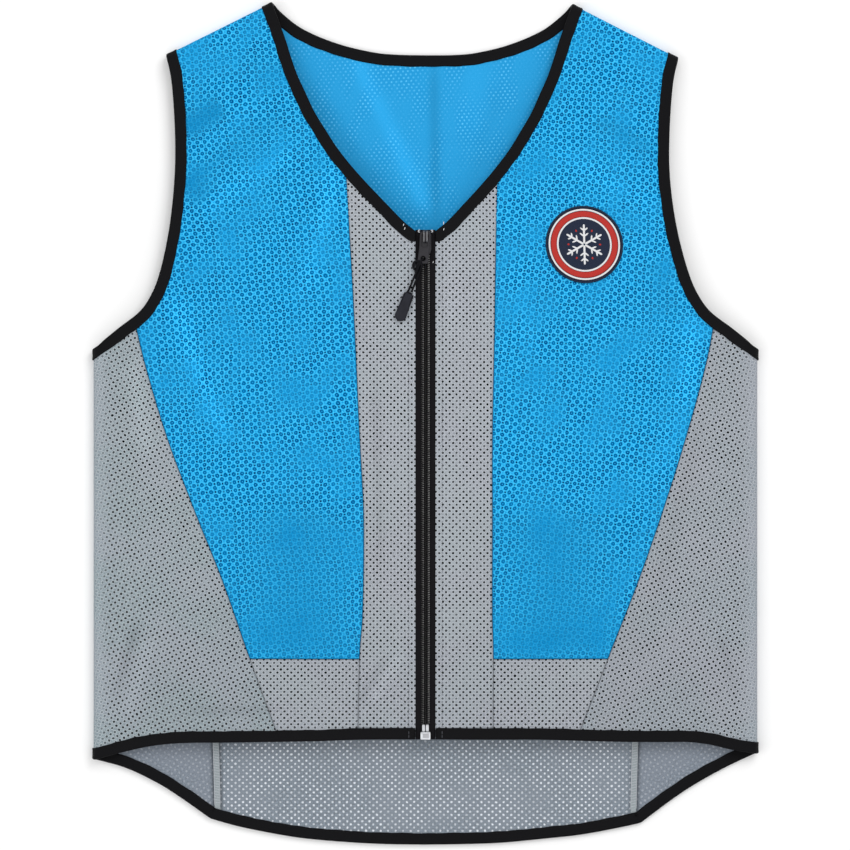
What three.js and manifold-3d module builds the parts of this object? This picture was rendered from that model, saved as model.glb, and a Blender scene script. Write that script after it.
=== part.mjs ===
// A zip-front cooling vest lying on its back, zipped up. Millimetres, +Z up, +Y towards the collar.
// The wearer's left is +X. The origin is under the middle of the vest, on the surface that it lies on.
import * as THREE from 'three';
import { mergeVertices } from 'three/addons/utils/BufferGeometryUtils.js';
import Module from 'manifold-3d';

// Body sizes, laid flat. Every drop is measured down from the neck points.
const BODY_LENGTH = 726.5;
const CHEST_WIDTH = 571;
const SHOULDER_WIDTH = 442;
const SHOULDER_DROP = 46;
const NECK_WIDTH = 259;
const FRONT_NECK_DROP = 197;
const BACK_NECK_DROP = 44;
const UNDERARM_DROP = 298;
const FRONT_LENGTH = 634;
const SIDE_LENGTH = 650;
const TAIL_CORNER_HALF = 186;
const PANEL_SEAM_DROP = 565;
const YOKE_SEAM_DROP = 342;
const CENTER_SEAM_HALF = 65;

// How it lies: the fold round each side and shoulder, the rise of the front over the hollow inside,
// and the small lean of the shoulders towards the wearer's right
const FOLD_RADIUS = 5.2;
const FRONT_LOFT = 11;
const LOFT_ROUNDNESS = 1.5;
const HEM_LOFT_SHARE = 0.62;
const HEM_LOFT_REACH = 1 / 3;
const SOFT_FOLD_FADE = 0.35;
const SOFT_FOLD_SHOULDER_FADE = 60;
const SHOULDER_LEAN = 2.8;
const SHOULDER_TILT = 0.006;
const LEAN_ONSET = 1.5;
const BACK_ARMHOLE_INSET = 2.5;

// The neck corners' binding stands a little above the shoulder folds, so the body sits lower by half of that
const SHOULDER_FOLD_DROP = 1.2;
const MIDDLE_SHIFT = 0.8;

// Cloth
const PADDED_CLOTH = 2.4;
const MESH_CLOTH = 2.0;
const TAPE_CLOTH = 1.2;
const SEAM_GAP = 0.4;
const CLEARANCE = 0.3;

// Binding
const BINDING_WIDTH = 10;
const BINDING_WALL = 0.7;
const BINDING_CHAMFER = 0.7;
const EDGE_SLACK = 1.6;
const BINDING_EASE = 0.5;

// Seam allowances inside the back
const ALLOWANCE_WIDTH = 5;
const ALLOWANCE_THICKNESS = 1.1;

// Zip
const ZIP_HALF_WIDTH = 8.6;
const ZIP_MIDDLE_GAP = 0.5;
const ZIP_TOP_RISE = 1;
const TAPE_SINK = 0.4;
const COIL_WIDTH = 3.4;
const COIL_HEIGHT = 1.6;
const SLIDER_LENGTH = 21;
const SLIDER_PLATE = 2;
const SLIDER_WALL = 1.1;
const SLIDER_CORNER = { width: 2.9, length: 3.6 };
const SLIDER_TAPER = { width: 1.2, length: 3.6 };
const BRIDGE_LENGTH = 11;
const BRIDGE_WIDTH = 3.2;
const BRIDGE_HEIGHT = 4;
const BRIDGE_BAR = 1.2;
const BRIDGE_SETBACK = 0.6;
const JOIN_DEPTH = 1;
const TAB_LENGTH = 27;
const TAB_WIDTH = 9.4;
const TAB_THICKNESS = 1.3;
const TAB_RAIL = 1.9;
const TAB_END_BAR = 2.2;
const TAB_EYE = 4.2;
const TAB_WAIST = 0.5;
const TAB_ROUND = 2;
const EYE_SIDES = 12;
const TAB_LEAN_DEG = -5;
const STOP_SIZE = { width: 2.2, length: 2.6, height: 1.8 };
const STOP_INNER_X = 4.4;
const BOX_SIZE = { width: 8.6, length: 6.6, height: 3 };
const PIN_SIZE = { width: 2.6, length: 6, height: 2 };

// Pull
const CORD_DIAMETER = 1.8;
const CORD_SIDES = 8;
const CORD_STEPS = 32;
const GRIP_LENGTH = 26;
const GRIP_TOP_WIDTH = 8.2;
const GRIP_END_WIDTH = 10;
const GRIP_THICKNESS = 4.4;
const GRIP_BEVEL = 0.9;
const GRIP_LEAN_DEG = -21;
const GRIP_TOP = { x: -13.6, dropFromNeck: 250 };

// Chest badge
const BADGE_DIAMETER = 67;
const BADGE_THICKNESS = 0.9;
const BADGE_SIDES = 28;
const BADGE_RINGS = 3;
const BADGE_PLACE = { x: 138, drop: 208 };

// Half of the front neckline. down: share of the neck drop. out: share of the way from zip to neck point.
const NECKLINE = [
  { down: 0, out: 1 }, { down: 0.16, out: 0.905 }, { down: 0.24, out: 0.865 }, { down: 0.32, out: 0.819 },
  { down: 0.4, out: 0.76 }, { down: 0.48, out: 0.7 }, { down: 0.56, out: 0.622 }, { down: 0.64, out: 0.54 },
  { down: 0.72, out: 0.44 }, { down: 0.8, out: 0.327 }, { down: 0.88, out: 0.205 }, { down: 0.96, out: 0.08 },
  { down: 1, out: 0 },
];

// Half of the back neckline. out: share of the half neck. up: share of the back neck drop.
const BACK_NECKLINE = [
  { out: 0, up: 0 }, { out: 0.2, up: 0.01 }, { out: 0.34, up: 0.05 }, { out: 0.57, up: 0.21 },
  { out: 0.8, up: 0.49 }, { out: 0.94, up: 0.8 }, { out: 1, up: 1 },
];

// Half of an armhole. down: share of its depth. out: share of the way from shoulder tip to side fold.
const ARMHOLE = [
  { down: -0.08, out: 0.07 }, { down: 0, out: 0 }, { down: 0.065, out: -0.058 },
  { down: 0.127, out: -0.086 }, { down: 0.25, out: -0.115 }, { down: 0.374, out: -0.119 },
  { down: 0.497, out: -0.083 }, { down: 0.621, out: -0.01 },
  { down: 0.744, out: 0.106 }, { down: 0.806, out: 0.198 }, { down: 0.868, out: 0.352 },
  { down: 0.93, out: 0.647 }, { down: 0.972, out: 0.84 }, { down: 0.992, out: 0.92 }, { down: 1, out: 1 },
];

// Front hem. out: share of the half chest. right, left: share of the dip from zip to side.
const FRONT_HEM = [
  { out: 0, right: 0, left: 0 }, { out: 0.2, right: 0.02, left: 0.02 }, { out: 0.335, right: 0.11, left: 0.02 },
  { out: 0.57, right: 0.18, left: 0.14 }, { out: 0.72, right: 0.21, left: 0.17 },
  { out: 0.8, right: 0.32, left: 0.18 }, { out: 0.86, right: 0.5, left: 0.32 },
  { out: 0.92, right: 0.76, left: 0.58 }, { out: 1, right: 1.14, left: 0.82 },
];

// Back hem outside the tail's corner. out: share of the way from corner to side. right, left: of the tail.
const TAIL_FLANK = [
  { out: 0, right: 0.705, left: 0.755 }, { out: 0.25, right: 0.475, left: 0.51 },
  { out: 0.45, right: 0.31, left: 0.335 }, { out: 0.73, right: 0.135, left: 0.13 },
  { out: 1, right: 0.035, left: -0.035 },
];

// Back hem inside the tail's corner. out: share of the half width at the corner. right, left: of the tail.
const TAIL_MIDDLE = [
  { out: 0, right: 1, left: 1 }, { out: 0.18, right: 0.994, left: 0.994 },
  { out: 0.36, right: 0.972, left: 0.977 }, { out: 0.57, right: 0.927, left: 0.928 },
  { out: 0.72, right: 0.868, left: 0.888 }, { out: 0.875, right: 0.79, left: 0.82 },
  { out: 1, right: 0.705, left: 0.755 },
];

// Seam beside the centre strip. down: share of the front length. right, left: share of its half width.
const CENTER_SEAM = [
  { down: 0.2, right: 1.045, left: 0.985 }, { down: 0.344, right: 0.975, left: 0.935 },
  { down: 0.472, right: 0.92, left: 0.905 }, { down: 0.589, right: 0.868, left: 0.882 },
  { down: 0.7, right: 0.815, left: 0.882 }, { down: 0.833, right: 0.83, left: 0.882 },
  { down: 0.882, right: 0.868, left: 0.895 }, { down: 1, right: 0.895, left: 0.895 },
];

// Front side seam. down: share of the front length. right, left: share of the half chest.
const SIDE_SEAM = [
  { down: 0.42, right: 0.884, left: 0.878 }, { down: 0.49, right: 0.847, left: 0.847 },
  { down: 0.589, right: 0.781, left: 0.787 }, { down: 0.687, right: 0.699, left: 0.718 },
  { down: 0.785, right: 0.612, left: 0.642 }, { down: 0.883, right: 0.536, left: 0.557 },
  { down: 1, right: 0.441, left: 0.456 },
];

// Back side seam. down: share of the body length. out: share of the half chest.
const BACK_SEAM = [
  { down: 0.37, out: 0.88 }, { down: 0.46, out: 0.81 }, { down: 0.56, out: 0.745 },
  { down: 0.68, out: 0.69 }, { down: 0.83, out: 0.65 }, { down: 1, out: 0.635 },
];

// Soft folds of the front. x: share of the half chest. down: share of the front length. turn: degrees from +Y.
// length, width: shares of the chest width. height: share of the loft.
const SOFT_FOLDS = [
  { x: -0.7, down: 0.9, turn: 4, length: 0.24, width: 0.06, height: 0.2 },
  { x: -0.62, down: 0.3, turn: -32, length: 0.2, width: 0.06, height: 0.2 },
  { x: -0.45, down: 0.62, turn: 14, length: 0.22, width: 0.07, height: -0.16 },
  { x: 0.5, down: 0.55, turn: -18, length: 0.24, width: 0.07, height: -0.16 },
  { x: 0.72, down: 0.78, turn: -8, length: 0.24, width: 0.06, height: 0.18 },
];

// Section of a coil row. across, up: shares of its width and height.
const COIL_SECTION = [
  { across: 0, up: 0 }, { across: 1, up: 0 }, { across: 1, up: 0.5 },
  { across: 0.7, up: 1 }, { across: 0.3, up: 1 }, { across: 0, up: 0.5 },
];

// Route of the pull cord from the grip over the tab's end bar, down through its eye and back under the bar.
// aside: in cord diameters. up: share of the way from grip to eye. level: from under the bar to over it.
// rise: share of the way from the grip's height to that level.
const CORD_ROUTE = [
  { aside: -0.83, up: 0.027, level: 1, rise: 0 }, { aside: -0.78, up: 0.125, level: 1, rise: 0.1 },
  { aside: -0.72, up: 0.36, level: 1, rise: 0.4 }, { aside: -0.67, up: 0.62, level: 1, rise: 0.75 },
  { aside: -0.61, up: 0.819, level: 1, rise: 1 }, { aside: -0.5, up: 0.909, level: 1.05, rise: 1 },
  { aside: -0.28, up: 0.977, level: 0.8, rise: 1 }, { aside: 0, up: 1.008, level: 0.5, rise: 1 },
  { aside: 0.22, up: 0.977, level: 0.2, rise: 1 }, { aside: 0.44, up: 0.909, level: 0, rise: 1 },
  { aside: 0.56, up: 0.819, level: 0, rise: 1 }, { aside: 0.67, up: 0.62, level: 0, rise: 0.75 },
  { aside: 0.72, up: 0.36, level: 0, rise: 0.4 }, { aside: 0.78, up: 0.125, level: 0, rise: 0 },
  { aside: 0.83, up: 0.027, level: 0, rise: 0 },
];

// Grid of each cloth piece: steps across and steps along
const GRID = {
  shoulderFold: 4,
  frontPanel: { across: 7, along: 20 },
  frontCenter: { across: 2, along: 16 },
  frontBand: { across: 4, along: 3 },
  sidePanel: { front: 7, fold: 6, back: 3, along: 13 },
  backYoke: { along: 9 },
  backPanel: { across: 10, along: 10 },
  allowance: { across: 1, along: 8 },
  tape: { across: 1, along: 16 },
  coil: { along: 16 },
};
const YOKE_NECK_COLUMNS = [0, 0.3, 0.55, 0.75, 0.88, 0.96, 0.993];
const YOKE_CORNER_SHARE = 0.85;
const YOKE_SHOULDER_COLUMNS = 4;
const BINDING_STEP = 30;
const BINDING_TURN_DEG = 15;

// Derived sizes
const TOP = BODY_LENGTH / 2 - MIDDLE_SHIFT;
const HALF_CHEST = CHEST_WIDTH / 2;
const HALF_SHOULDER = SHOULDER_WIDTH / 2;
const HALF_NECK = NECK_WIDTH / 2;
const FLAT_HALF = HALF_CHEST - FOLD_RADIUS;
const FOLD_ARC = FOLD_RADIUS * Math.PI / 2;
const FOLD_X = FLAT_HALF + FOLD_ARC;
const SLOT_HALF = PADDED_CLOTH / 2 + BINDING_EASE;
const BINDING_HALF = SLOT_HALF + BINDING_WALL;
const EDGE_INSET = BINDING_WALL + EDGE_SLACK;
const SEAM_INSET = SEAM_GAP / 2;
const BACK_LEVEL = PADDED_CLOTH / 2;
const EDGE_LIFT = BINDING_HALF - BACK_LEVEL;
const EDGE_LIFT_REACH = 60;
const SHOULDER_SLOPE = SHOULDER_DROP / (HALF_SHOULDER - HALF_NECK);
const SHOULDER_COS = 1 / Math.hypot(1, SHOULDER_SLOPE);
const SHOULDER_OUT = { x: SHOULDER_SLOPE * SHOULDER_COS, y: SHOULDER_COS };

const lerp = (a, b, t) => a + (b - a) * t;
const clamp01 = (t) => Math.min(1, Math.max(0, t));
const smooth = (t) => clamp01(t) ** 2 * (3 - 2 * clamp01(t));
const column = (sign) => (sign < 0 ? 'right' : 'left');

// A smooth curve through the rows of a table: value(name) at a place along key
function curveThrough(rows, key, name) {
  const slope = (i, j) => (rows[j][name] - rows[i][name]) / (rows[j][key] - rows[i][key]);
  const last = rows.length - 1;
  const tangent = rows.map((row, i) => slope(Math.max(0, i - 1), Math.min(last, i + 1)));
  return (place) => {
    const k = Math.min(last - 1, Math.max(0, rows.findIndex((row) => row[key] > place) - 1));
    const i = place >= rows[last][key] ? last - 1 : k;
    const step = rows[i + 1][key] - rows[i][key];
    const t = (place - rows[i][key]) / step;
    if (t < 0) return rows[i][name] + tangent[i] * t * step;
    if (t > 1) return rows[i + 1][name] + tangent[i + 1] * (t - 1) * step;
    const a = (1 + 2 * t) * (1 - t) ** 2 * rows[i][name] + t * (1 - t) ** 2 * tangent[i] * step;
    const b = t * t * (3 - 2 * t) * rows[i + 1][name] + t * t * (t - 1) * tangent[i + 1] * step;
    return a + b;
  };
}

// Straight-line lookup in a list of points whose key rises
function lookup(points, key, name) {
  return (place) => {
    const found = points.findIndex((p) => p[key] >= place);
    const i = found < 0 ? points.length - 1 : Math.max(1, found);
    const [a, b] = [points[i - 1], points[i]];
    return lerp(a[name], b[name], (place - a[key]) / (b[key] - a[key]));
  };
}

// Finished edges, as curves of the flat pattern for one half
const neckOut = curveThrough(NECKLINE, 'down', 'out');
const backNeckUp = curveThrough(BACK_NECKLINE, 'out', 'up');
const backSeamOut = curveThrough(BACK_SEAM, 'down', 'out');
const CURVE_SAMPLES = 400;

const shoulderY = (x) => TOP - SHOULDER_FOLD_DROP - SHOULDER_SLOPE * (Math.abs(x) - HALF_NECK);
const shoulderTopY = (x) => shoulderY(x) - (FOLD_RADIUS - FOLD_ARC) / SHOULDER_COS;

function samples(makePoint, from = 0) {
  return Array.from({ length: CURVE_SAMPLES + 1 }, (_, i) => makePoint(lerp(from, 1, i / CURVE_SAMPLES)));
}

// The edges start a little above the neck point and shoulder tip, where the cloth turns over
const ABOVE_SHOULDER = -0.08;
const neckPoints = samples((down) => ({
  y: TOP - down * FRONT_NECK_DROP,
  x: lerp(ZIP_HALF_WIDTH, HALF_NECK, neckOut(down)),
}), ABOVE_SHOULDER);

// Where an edge meets the shoulder seam, which lies at the outside of the shoulder fold
const belowShoulderSeam = (p) => p.y <= shoulderTopY(p.x);
function seamPoint(points) {
  const i = points.findIndex(belowShoulderSeam);
  const [a, b] = [points[i - 1], points[i]];
  const over = (p) => p.y - shoulderTopY(p.x);
  const t = over(a) / (over(a) - over(b));
  return { x: lerp(a.x, b.x, t), y: lerp(a.y, b.y, t) };
}
const NECK_CORNER = seamPoint(neckPoints);
const backNeckPoints = samples((out) => ({
  x: out * NECK_CORNER.x,
  y: lerp(TOP - BACK_NECK_DROP, NECK_CORNER.y, backNeckUp(out)),
}));
// The armhole is level where it crosses the side fold, so its curve runs on to a mirrored row past the fold
function armholePoints(inset) {
  const last = ARMHOLE.length - 1;
  const past = { down: ARMHOLE[last - 1].down, out: 2 - ARMHOLE[last - 1].out };
  const route = [...ARMHOLE, past].map(({ down, out }) => new THREE.Vector3(
    lerp(HALF_SHOULDER, FOLD_X, out),
    TOP - lerp(SHOULDER_DROP, UNDERARM_DROP, down),
    0,
  ));
  const curve = new THREE.CatmullRomCurve3(route, false, 'centripetal');
  return samples((t) => {
    const { x, y } = curve.getPoint(t * last / (last + 1));
    const down = clamp01((TOP - SHOULDER_DROP - y) / (UNDERARM_DROP - SHOULDER_DROP));
    return { x: x - inset * Math.sin(Math.PI * down), y };
  });
}
const armhole = { front: armholePoints(0), back: armholePoints(BACK_ARMHOLE_INSET) };

const upwards = (points) => [...points].reverse();
const neckX = lookup(upwards(neckPoints), 'y', 'x');
const neckY = lookup(upwards(neckPoints), 'x', 'y');
const backNeckY = lookup(backNeckPoints, 'x', 'y');
const armholeX = {
  front: lookup(upwards(armhole.front), 'y', 'x'),
  back: lookup(upwards(armhole.back), 'y', 'x'),
};
// The part of an armhole below its narrowest place, where x rises all the way to the side fold
function scoop(points) {
  const narrowest = Math.min(...points.map((p) => p.x));
  return points.slice(points.findIndex((p) => p.x === narrowest));
}
const armholeY = {
  front: lookup(scoop(armhole.front), 'x', 'y'),
  back: lookup(scoop(armhole.back), 'x', 'y'),
};

function sideCurves(sign) {
  const name = column(sign);
  const dip = curveThrough(FRONT_HEM, 'out', name);
  const flank = curveThrough(TAIL_FLANK, 'out', name);
  const middle = curveThrough(TAIL_MIDDLE, 'out', name);
  const center = curveThrough(CENTER_SEAM, 'down', name);
  const side = curveThrough(SIDE_SEAM, 'down', name);
  const tail = BODY_LENGTH - SIDE_LENGTH;
  const fullDip = SIDE_LENGTH - FRONT_LENGTH;
  const tailDrop = (x) => (x < TAIL_CORNER_HALF
    ? middle(x / TAIL_CORNER_HALF)
    : flank((x - TAIL_CORNER_HALF) / (HALF_CHEST - TAIL_CORNER_HALF)));
  return {
    frontHemY: (x) => TOP - FRONT_LENGTH - fullDip * dip(Math.min(x, HALF_CHEST) / HALF_CHEST),
    backHemY: (x) => TOP - SIDE_LENGTH - tail * tailDrop(Math.min(x, HALF_CHEST)),
    centerSeamX: (y) => CENTER_SEAM_HALF * center((TOP - y) / FRONT_LENGTH),
    sideSeamX: (y) => HALF_CHEST * side((TOP - y) / FRONT_LENGTH),
    backSeamX: (y) => HALF_CHEST * backSeamOut((TOP - y) / BODY_LENGTH),
  };
}
const curves = { right: sideCurves(-1), left: sideCurves(1) };

// Distance to the bound edges of the back, which lift the cloth by the binding under it
const backEdgePoints = [-1, 1].flatMap((sign) => [
  ...backNeckPoints.map((p) => ({ x: sign * p.x, y: p.y })),
  ...armhole.back.map((p) => ({ x: sign * p.x, y: p.y })),
  ...samples((out) => ({ x: sign * out * FOLD_X, y: curves[column(sign)].backHemY(out * FOLD_X) })),
]);
function backHeight(x, y) {
  let near = EDGE_LIFT_REACH;
  for (const p of backEdgePoints) near = Math.min(near, Math.hypot(x - p.x, y - p.y));
  return BACK_LEVEL + EDGE_LIFT * (1 - Math.max(0, near - BINDING_WIDTH) / (EDGE_LIFT_REACH - BINDING_WIDTH));
}

function frontHeight(x, y) {
  const belowShoulder = (shoulderY(x) - y) * SHOULDER_COS;
  const across = (1 - clamp01(Math.abs(x) / FLAT_HALF) ** 2) ** LOFT_ROUNDNESS;
  const fromHem = (y - (TOP - FRONT_LENGTH)) / FRONT_LENGTH;
  const fromShoulder = smooth((belowShoulder - FOLD_RADIUS) / UNDERARM_DROP);
  const along = lerp(HEM_LOFT_SHARE, 1, smooth(fromHem / HEM_LOFT_REACH)) * fromShoulder;
  let folds = 0;
  for (const f of SOFT_FOLDS) {
    const turn = f.turn * Math.PI / 180;
    const dx = x - f.x * HALF_CHEST;
    const dy = y - (TOP - f.down * FRONT_LENGTH);
    const over = (dx * Math.cos(turn) + dy * Math.sin(turn)) / (f.width * CHEST_WIDTH);
    const run = (dy * Math.cos(turn) - dx * Math.sin(turn)) / (f.length * CHEST_WIDTH);
    folds += f.height * Math.exp(-over * over - run * run);
  }
  const sideFade = smooth((FLAT_HALF - Math.abs(x)) / (FLAT_HALF * SOFT_FOLD_FADE));
  const shoulderFade = smooth((belowShoulder - FOLD_RADIUS) / SOFT_FOLD_SHOULDER_FADE);
  const rise = across * along + folds * sideFade * shoulderFade;
  return BACK_LEVEL + EDGE_LIFT + 2 * FOLD_RADIUS + FRONT_LOFT * rise;
}

// The small lean of the upper half, as it was laid down
function lean(x, y) {
  const share = smooth((y - (TOP - UNDERARM_DROP)) / (UNDERARM_DROP - SHOULDER_DROP) * LEAN_ONSET);
  const aside = smooth(Math.abs(x) / HALF_NECK);
  return [x - SHOULDER_LEAN * share * aside, y - SHOULDER_TILT * x * share];
}

// The middle of the cloth at a point of the flat pattern. Past the fold lines it turns over.
function cloth(layer, flatX, flatY) {
  const sign = flatX < 0 ? -1 : 1;
  let x = Math.abs(flatX);
  let y = flatY;
  let turn = 0;
  const below = (shoulderY(x) - y) * SHOULDER_COS;
  if (x > FLAT_HALF) {
    turn = (x - FLAT_HALF) / FOLD_RADIUS;
    x = FLAT_HALF + FOLD_RADIUS * Math.sin(turn);
  } else if (below < FOLD_RADIUS) {
    turn = (FOLD_RADIUS - below) / FOLD_RADIUS;
    const pulled = below - FOLD_RADIUS * (1 - Math.sin(turn));
    x += SHOULDER_OUT.x * pulled;
    y += SHOULDER_OUT.y * pulled;
  }
  const high = frontHeight(sign * x, y);
  const low = backHeight(sign * x, y);
  const z = (high + low) / 2 + (layer === 'front' ? 1 : -1) * (high - low) / 2 * Math.cos(turn);
  const [leanX, leanY] = lean(sign * x, y);
  return new THREE.Vector3(leanX, leanY, z);
}

const front = (x, y) => cloth('front', x, y);
const back = (x, y) => cloth('back', x, y);
const around = (sign) => (u, y) => (u <= FOLD_X ? front(sign * u, y) : back(sign * (2 * FOLD_X - u), y));

// Outward normal of a surface given as a function of two flat coordinates
const PROBE = 0.4;
function normalAt(surface, u, v) {
  const du = surface(u + PROBE, v).sub(surface(u - PROBE, v));
  const dv = surface(u, v + PROBE).sub(surface(u, v - PROBE));
  return du.cross(dv).normalize();
}

function volumeOf(positions, index) {
  const [a, b, c] = [new THREE.Vector3(), new THREE.Vector3(), new THREE.Vector3()];
  let volume = 0;
  for (let i = 0; i < index.length; i += 3) {
    a.fromArray(positions, index[i] * 3);
    b.fromArray(positions, index[i + 1] * 3);
    c.fromArray(positions, index[i + 2] * 3);
    volume += a.dot(b.cross(c));
  }
  return volume;
}

function closedGeometry(positions, index) {
  if (volumeOf(positions, index) < 0) {
    for (let i = 0; i < index.length; i += 3) [index[i], index[i + 1]] = [index[i + 1], index[i]];
  }
  const geometry = new THREE.BufferGeometry();
  geometry.setAttribute('position', new THREE.Float32BufferAttribute(positions, 3));
  geometry.setIndex(index);
  geometry.computeVertexNormals();
  return geometry;
}

// A cloth piece: a grid of flat points, half the thickness to each side of the surface
function slab(surface, grid, thickness, shift = 0) {
  const columns = grid.length;
  const rows = grid[0].length;
  const positions = [];
  for (const side of [1, -1]) {
    for (const line of grid) {
      for (const { u, v } of line) {
        const offset = normalAt(surface, u, v).multiplyScalar(side * thickness / 2 + shift);
        positions.push(...surface(u, v).add(offset).toArray());
      }
    }
  }
  const at = (i, j, side) => side * columns * rows + i * rows + j;
  const index = [];
  const quad = (a, b, c, d) => index.push(a, b, c, a, c, d);
  for (let i = 0; i < columns - 1; i += 1) {
    for (let j = 0; j < rows - 1; j += 1) {
      quad(at(i, j, 0), at(i + 1, j, 0), at(i + 1, j + 1, 0), at(i, j + 1, 0));
      quad(at(i, j, 1), at(i, j + 1, 1), at(i + 1, j + 1, 1), at(i + 1, j, 1));
    }
  }
  for (let i = 0; i < columns - 1; i += 1) {
    quad(at(i, 0, 0), at(i, 0, 1), at(i + 1, 0, 1), at(i + 1, 0, 0));
    quad(at(i, rows - 1, 0), at(i + 1, rows - 1, 0), at(i + 1, rows - 1, 1), at(i, rows - 1, 1));
  }
  for (let j = 0; j < rows - 1; j += 1) {
    quad(at(0, j, 0), at(0, j + 1, 0), at(0, j + 1, 1), at(0, j, 1));
    quad(at(columns - 1, j, 0), at(columns - 1, j, 1), at(columns - 1, j + 1, 1), at(columns - 1, j + 1, 0));
  }
  return closedGeometry(positions, index);
}

// How much further an inset reaches along an axis where the edge slopes
function along(edge, place, inset) {
  const slope = (edge(place + PROBE) - edge(place - PROBE)) / (2 * PROBE);
  return inset * Math.hypot(1, slope);
}
const grown = (edge, inset) => (place) => edge(place) + along(edge, place, inset);

const HALVINGS = 40;

// Points of a piece between two edges given as x of y and two given as y of x. Each column runs from its
// own foot on the low edge to its own head on the high edge.
function between(edges, acrossShares, rowsOf) {
  const across = (v, s) => lerp(edges.inner(v), edges.outer(v), s);
  const settled = (s, edge) => {
    let [low, high] = [-BODY_LENGTH, BODY_LENGTH];
    for (let k = 0; k < HALVINGS; k += 1) {
      const middle = (low + high) / 2;
      if (middle > edge(across(middle, s))) high = middle;
      else low = middle;
    }
    return (low + high) / 2;
  };
  return acrossShares.map((s) => {
    const foot = settled(s, edges.low);
    const head = settled(s, edges.high);
    return rowsOf(foot, head, across(head, s)).map((v) => ({ u: across(v, s), v }));
  });
}
const shares = (count) => Array.from({ length: count + 1 }, (_, i) => i / count);
const evenRows = (count) => (foot, head) => shares(count).map((t) => lerp(foot, head, t));

// Rows that are even up to the shoulder fold and closer where the cloth turns over
function shoulderRows(count) {
  return (foot, head, x) => {
    const bend = Math.min(shoulderY(x) - FOLD_RADIUS / SHOULDER_COS, head - FOLD_RADIUS);
    return [...evenRows(count)(foot, bend), ...evenRows(GRID.shoulderFold)(bend, head).slice(1)];
  };
}
const mirrored = (grid, sign) => grid.map((line) => line.map(({ u, v }) => ({ u: sign * u, v })));

// Materials
const finish = (color, roughness, metalness = 0) => ({ color, roughness, metalness });
const BLUE = finish(0x2698d3, 0.75);
const GREY = finish(0x9ea1a9, 0.8);
const BLACK_CLOTH = finish(0x1c1b1f, 0.85);
const BLACK_METAL = finish(0x222226, 0.45, 0.6);
const BLACK_RUBBER = finish(0x26262b, 0.6);
const SILVER = finish(0xc9cbd0, 0.35, 0.9);

const vest = new THREE.Group();
function addPiece(name, geometry, look, parent = vest) {
  const mesh = new THREE.Mesh(geometry, new THREE.MeshStandardMaterial(look));
  mesh.name = name;
  parent.add(mesh);
  return mesh;
}

// Cloth panels of one half of the front, and its side
function addFrontHalf(sign) {
  const half = column(sign);
  const c = curves[half];
  const neckEdge = (y) => neckX(y) + along(neckX, y, EDGE_INSET);
  const armEdge = (y) => armholeX.front(y) - along(armholeX.front, y, EDGE_INSET);
  const hemEdge = (x) => c.frontHemY(x) + along(c.frontHemY, x, EDGE_INSET);
  const panelSeam = TOP - PANEL_SEAM_DROP;

  const panelEdges = {
    inner: (y) => Math.max(grown(c.centerSeamX, SEAM_INSET)(y), neckEdge(y)),
    outer: (y) => Math.min(grown(c.sideSeamX, -SEAM_INSET)(y), armEdge(y)),
    low: () => panelSeam + SEAM_INSET,
    high: (x) => shoulderTopY(x) - SEAM_INSET,
  };
  const panel = between(panelEdges, shares(GRID.frontPanel.across), shoulderRows(GRID.frontPanel.along));
  addPiece(`front_panel_${half}`, slab(front, mirrored(panel, sign), PADDED_CLOTH), BLUE);

  const centerEdges = {
    inner: () => ZIP_HALF_WIDTH + SEAM_INSET,
    outer: grown(c.centerSeamX, -SEAM_INSET),
    low: hemEdge,
    high: (x) => neckY(x) - along(neckY, x, EDGE_INSET),
  };
  const center = between(centerEdges, shares(GRID.frontCenter.across), evenRows(GRID.frontCenter.along));
  addPiece(`front_center_${half}`, slab(front, mirrored(center, sign), MESH_CLOTH), GREY);

  const bandEdges = {
    inner: grown(c.centerSeamX, SEAM_INSET),
    outer: grown(c.sideSeamX, -SEAM_INSET),
    low: hemEdge,
    high: () => panelSeam - SEAM_INSET,
  };
  const band = between(bandEdges, shares(GRID.frontBand.across), evenRows(GRID.frontBand.along));
  addPiece(`front_band_${half}`, slab(front, mirrored(band, sign), MESH_CLOTH), GREY);
}

// One side panel, from the front side seam round the fold to the back seam
function addSidePanel(sign) {
  const half = column(sign);
  const c = curves[half];
  const backU = (x) => 2 * FOLD_X - x;
  const flat = (u) => (u <= FOLD_X ? u : backU(u));
  const hemY = (u) => (u <= FOLD_X ? c.frontHemY(u) : c.backHemY(flat(u)));
  const armY = (u) => (u <= FOLD_X ? armholeY.front(u) : armholeY.back(flat(u)));
  const seamU = (y) => backU(c.backSeamX(y));
  const low = (u) => hemY(u) + along(hemY, u, EDGE_INSET);
  const high = (u) => armY(u) - along(armY, u, EDGE_INSET);
  const section = (inner, outer, count, skip) => between(
    { inner, outer, low, high },
    shares(count).slice(skip),
    evenRows(GRID.sidePanel.along),
  );
  const foldStart = () => FLAT_HALF;
  const foldEnd = () => backU(FLAT_HALF);
  const grid = [
    ...section(grown(c.sideSeamX, SEAM_INSET), foldStart, GRID.sidePanel.front, 0),
    ...section(foldStart, foldEnd, GRID.sidePanel.fold, 1),
    ...section(foldEnd, grown(seamU, -SEAM_INSET), GRID.sidePanel.back, 1),
  ];
  addPiece(`side_panel_${half}`, slab(around(sign), grid, MESH_CLOTH), GREY);
}

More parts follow.
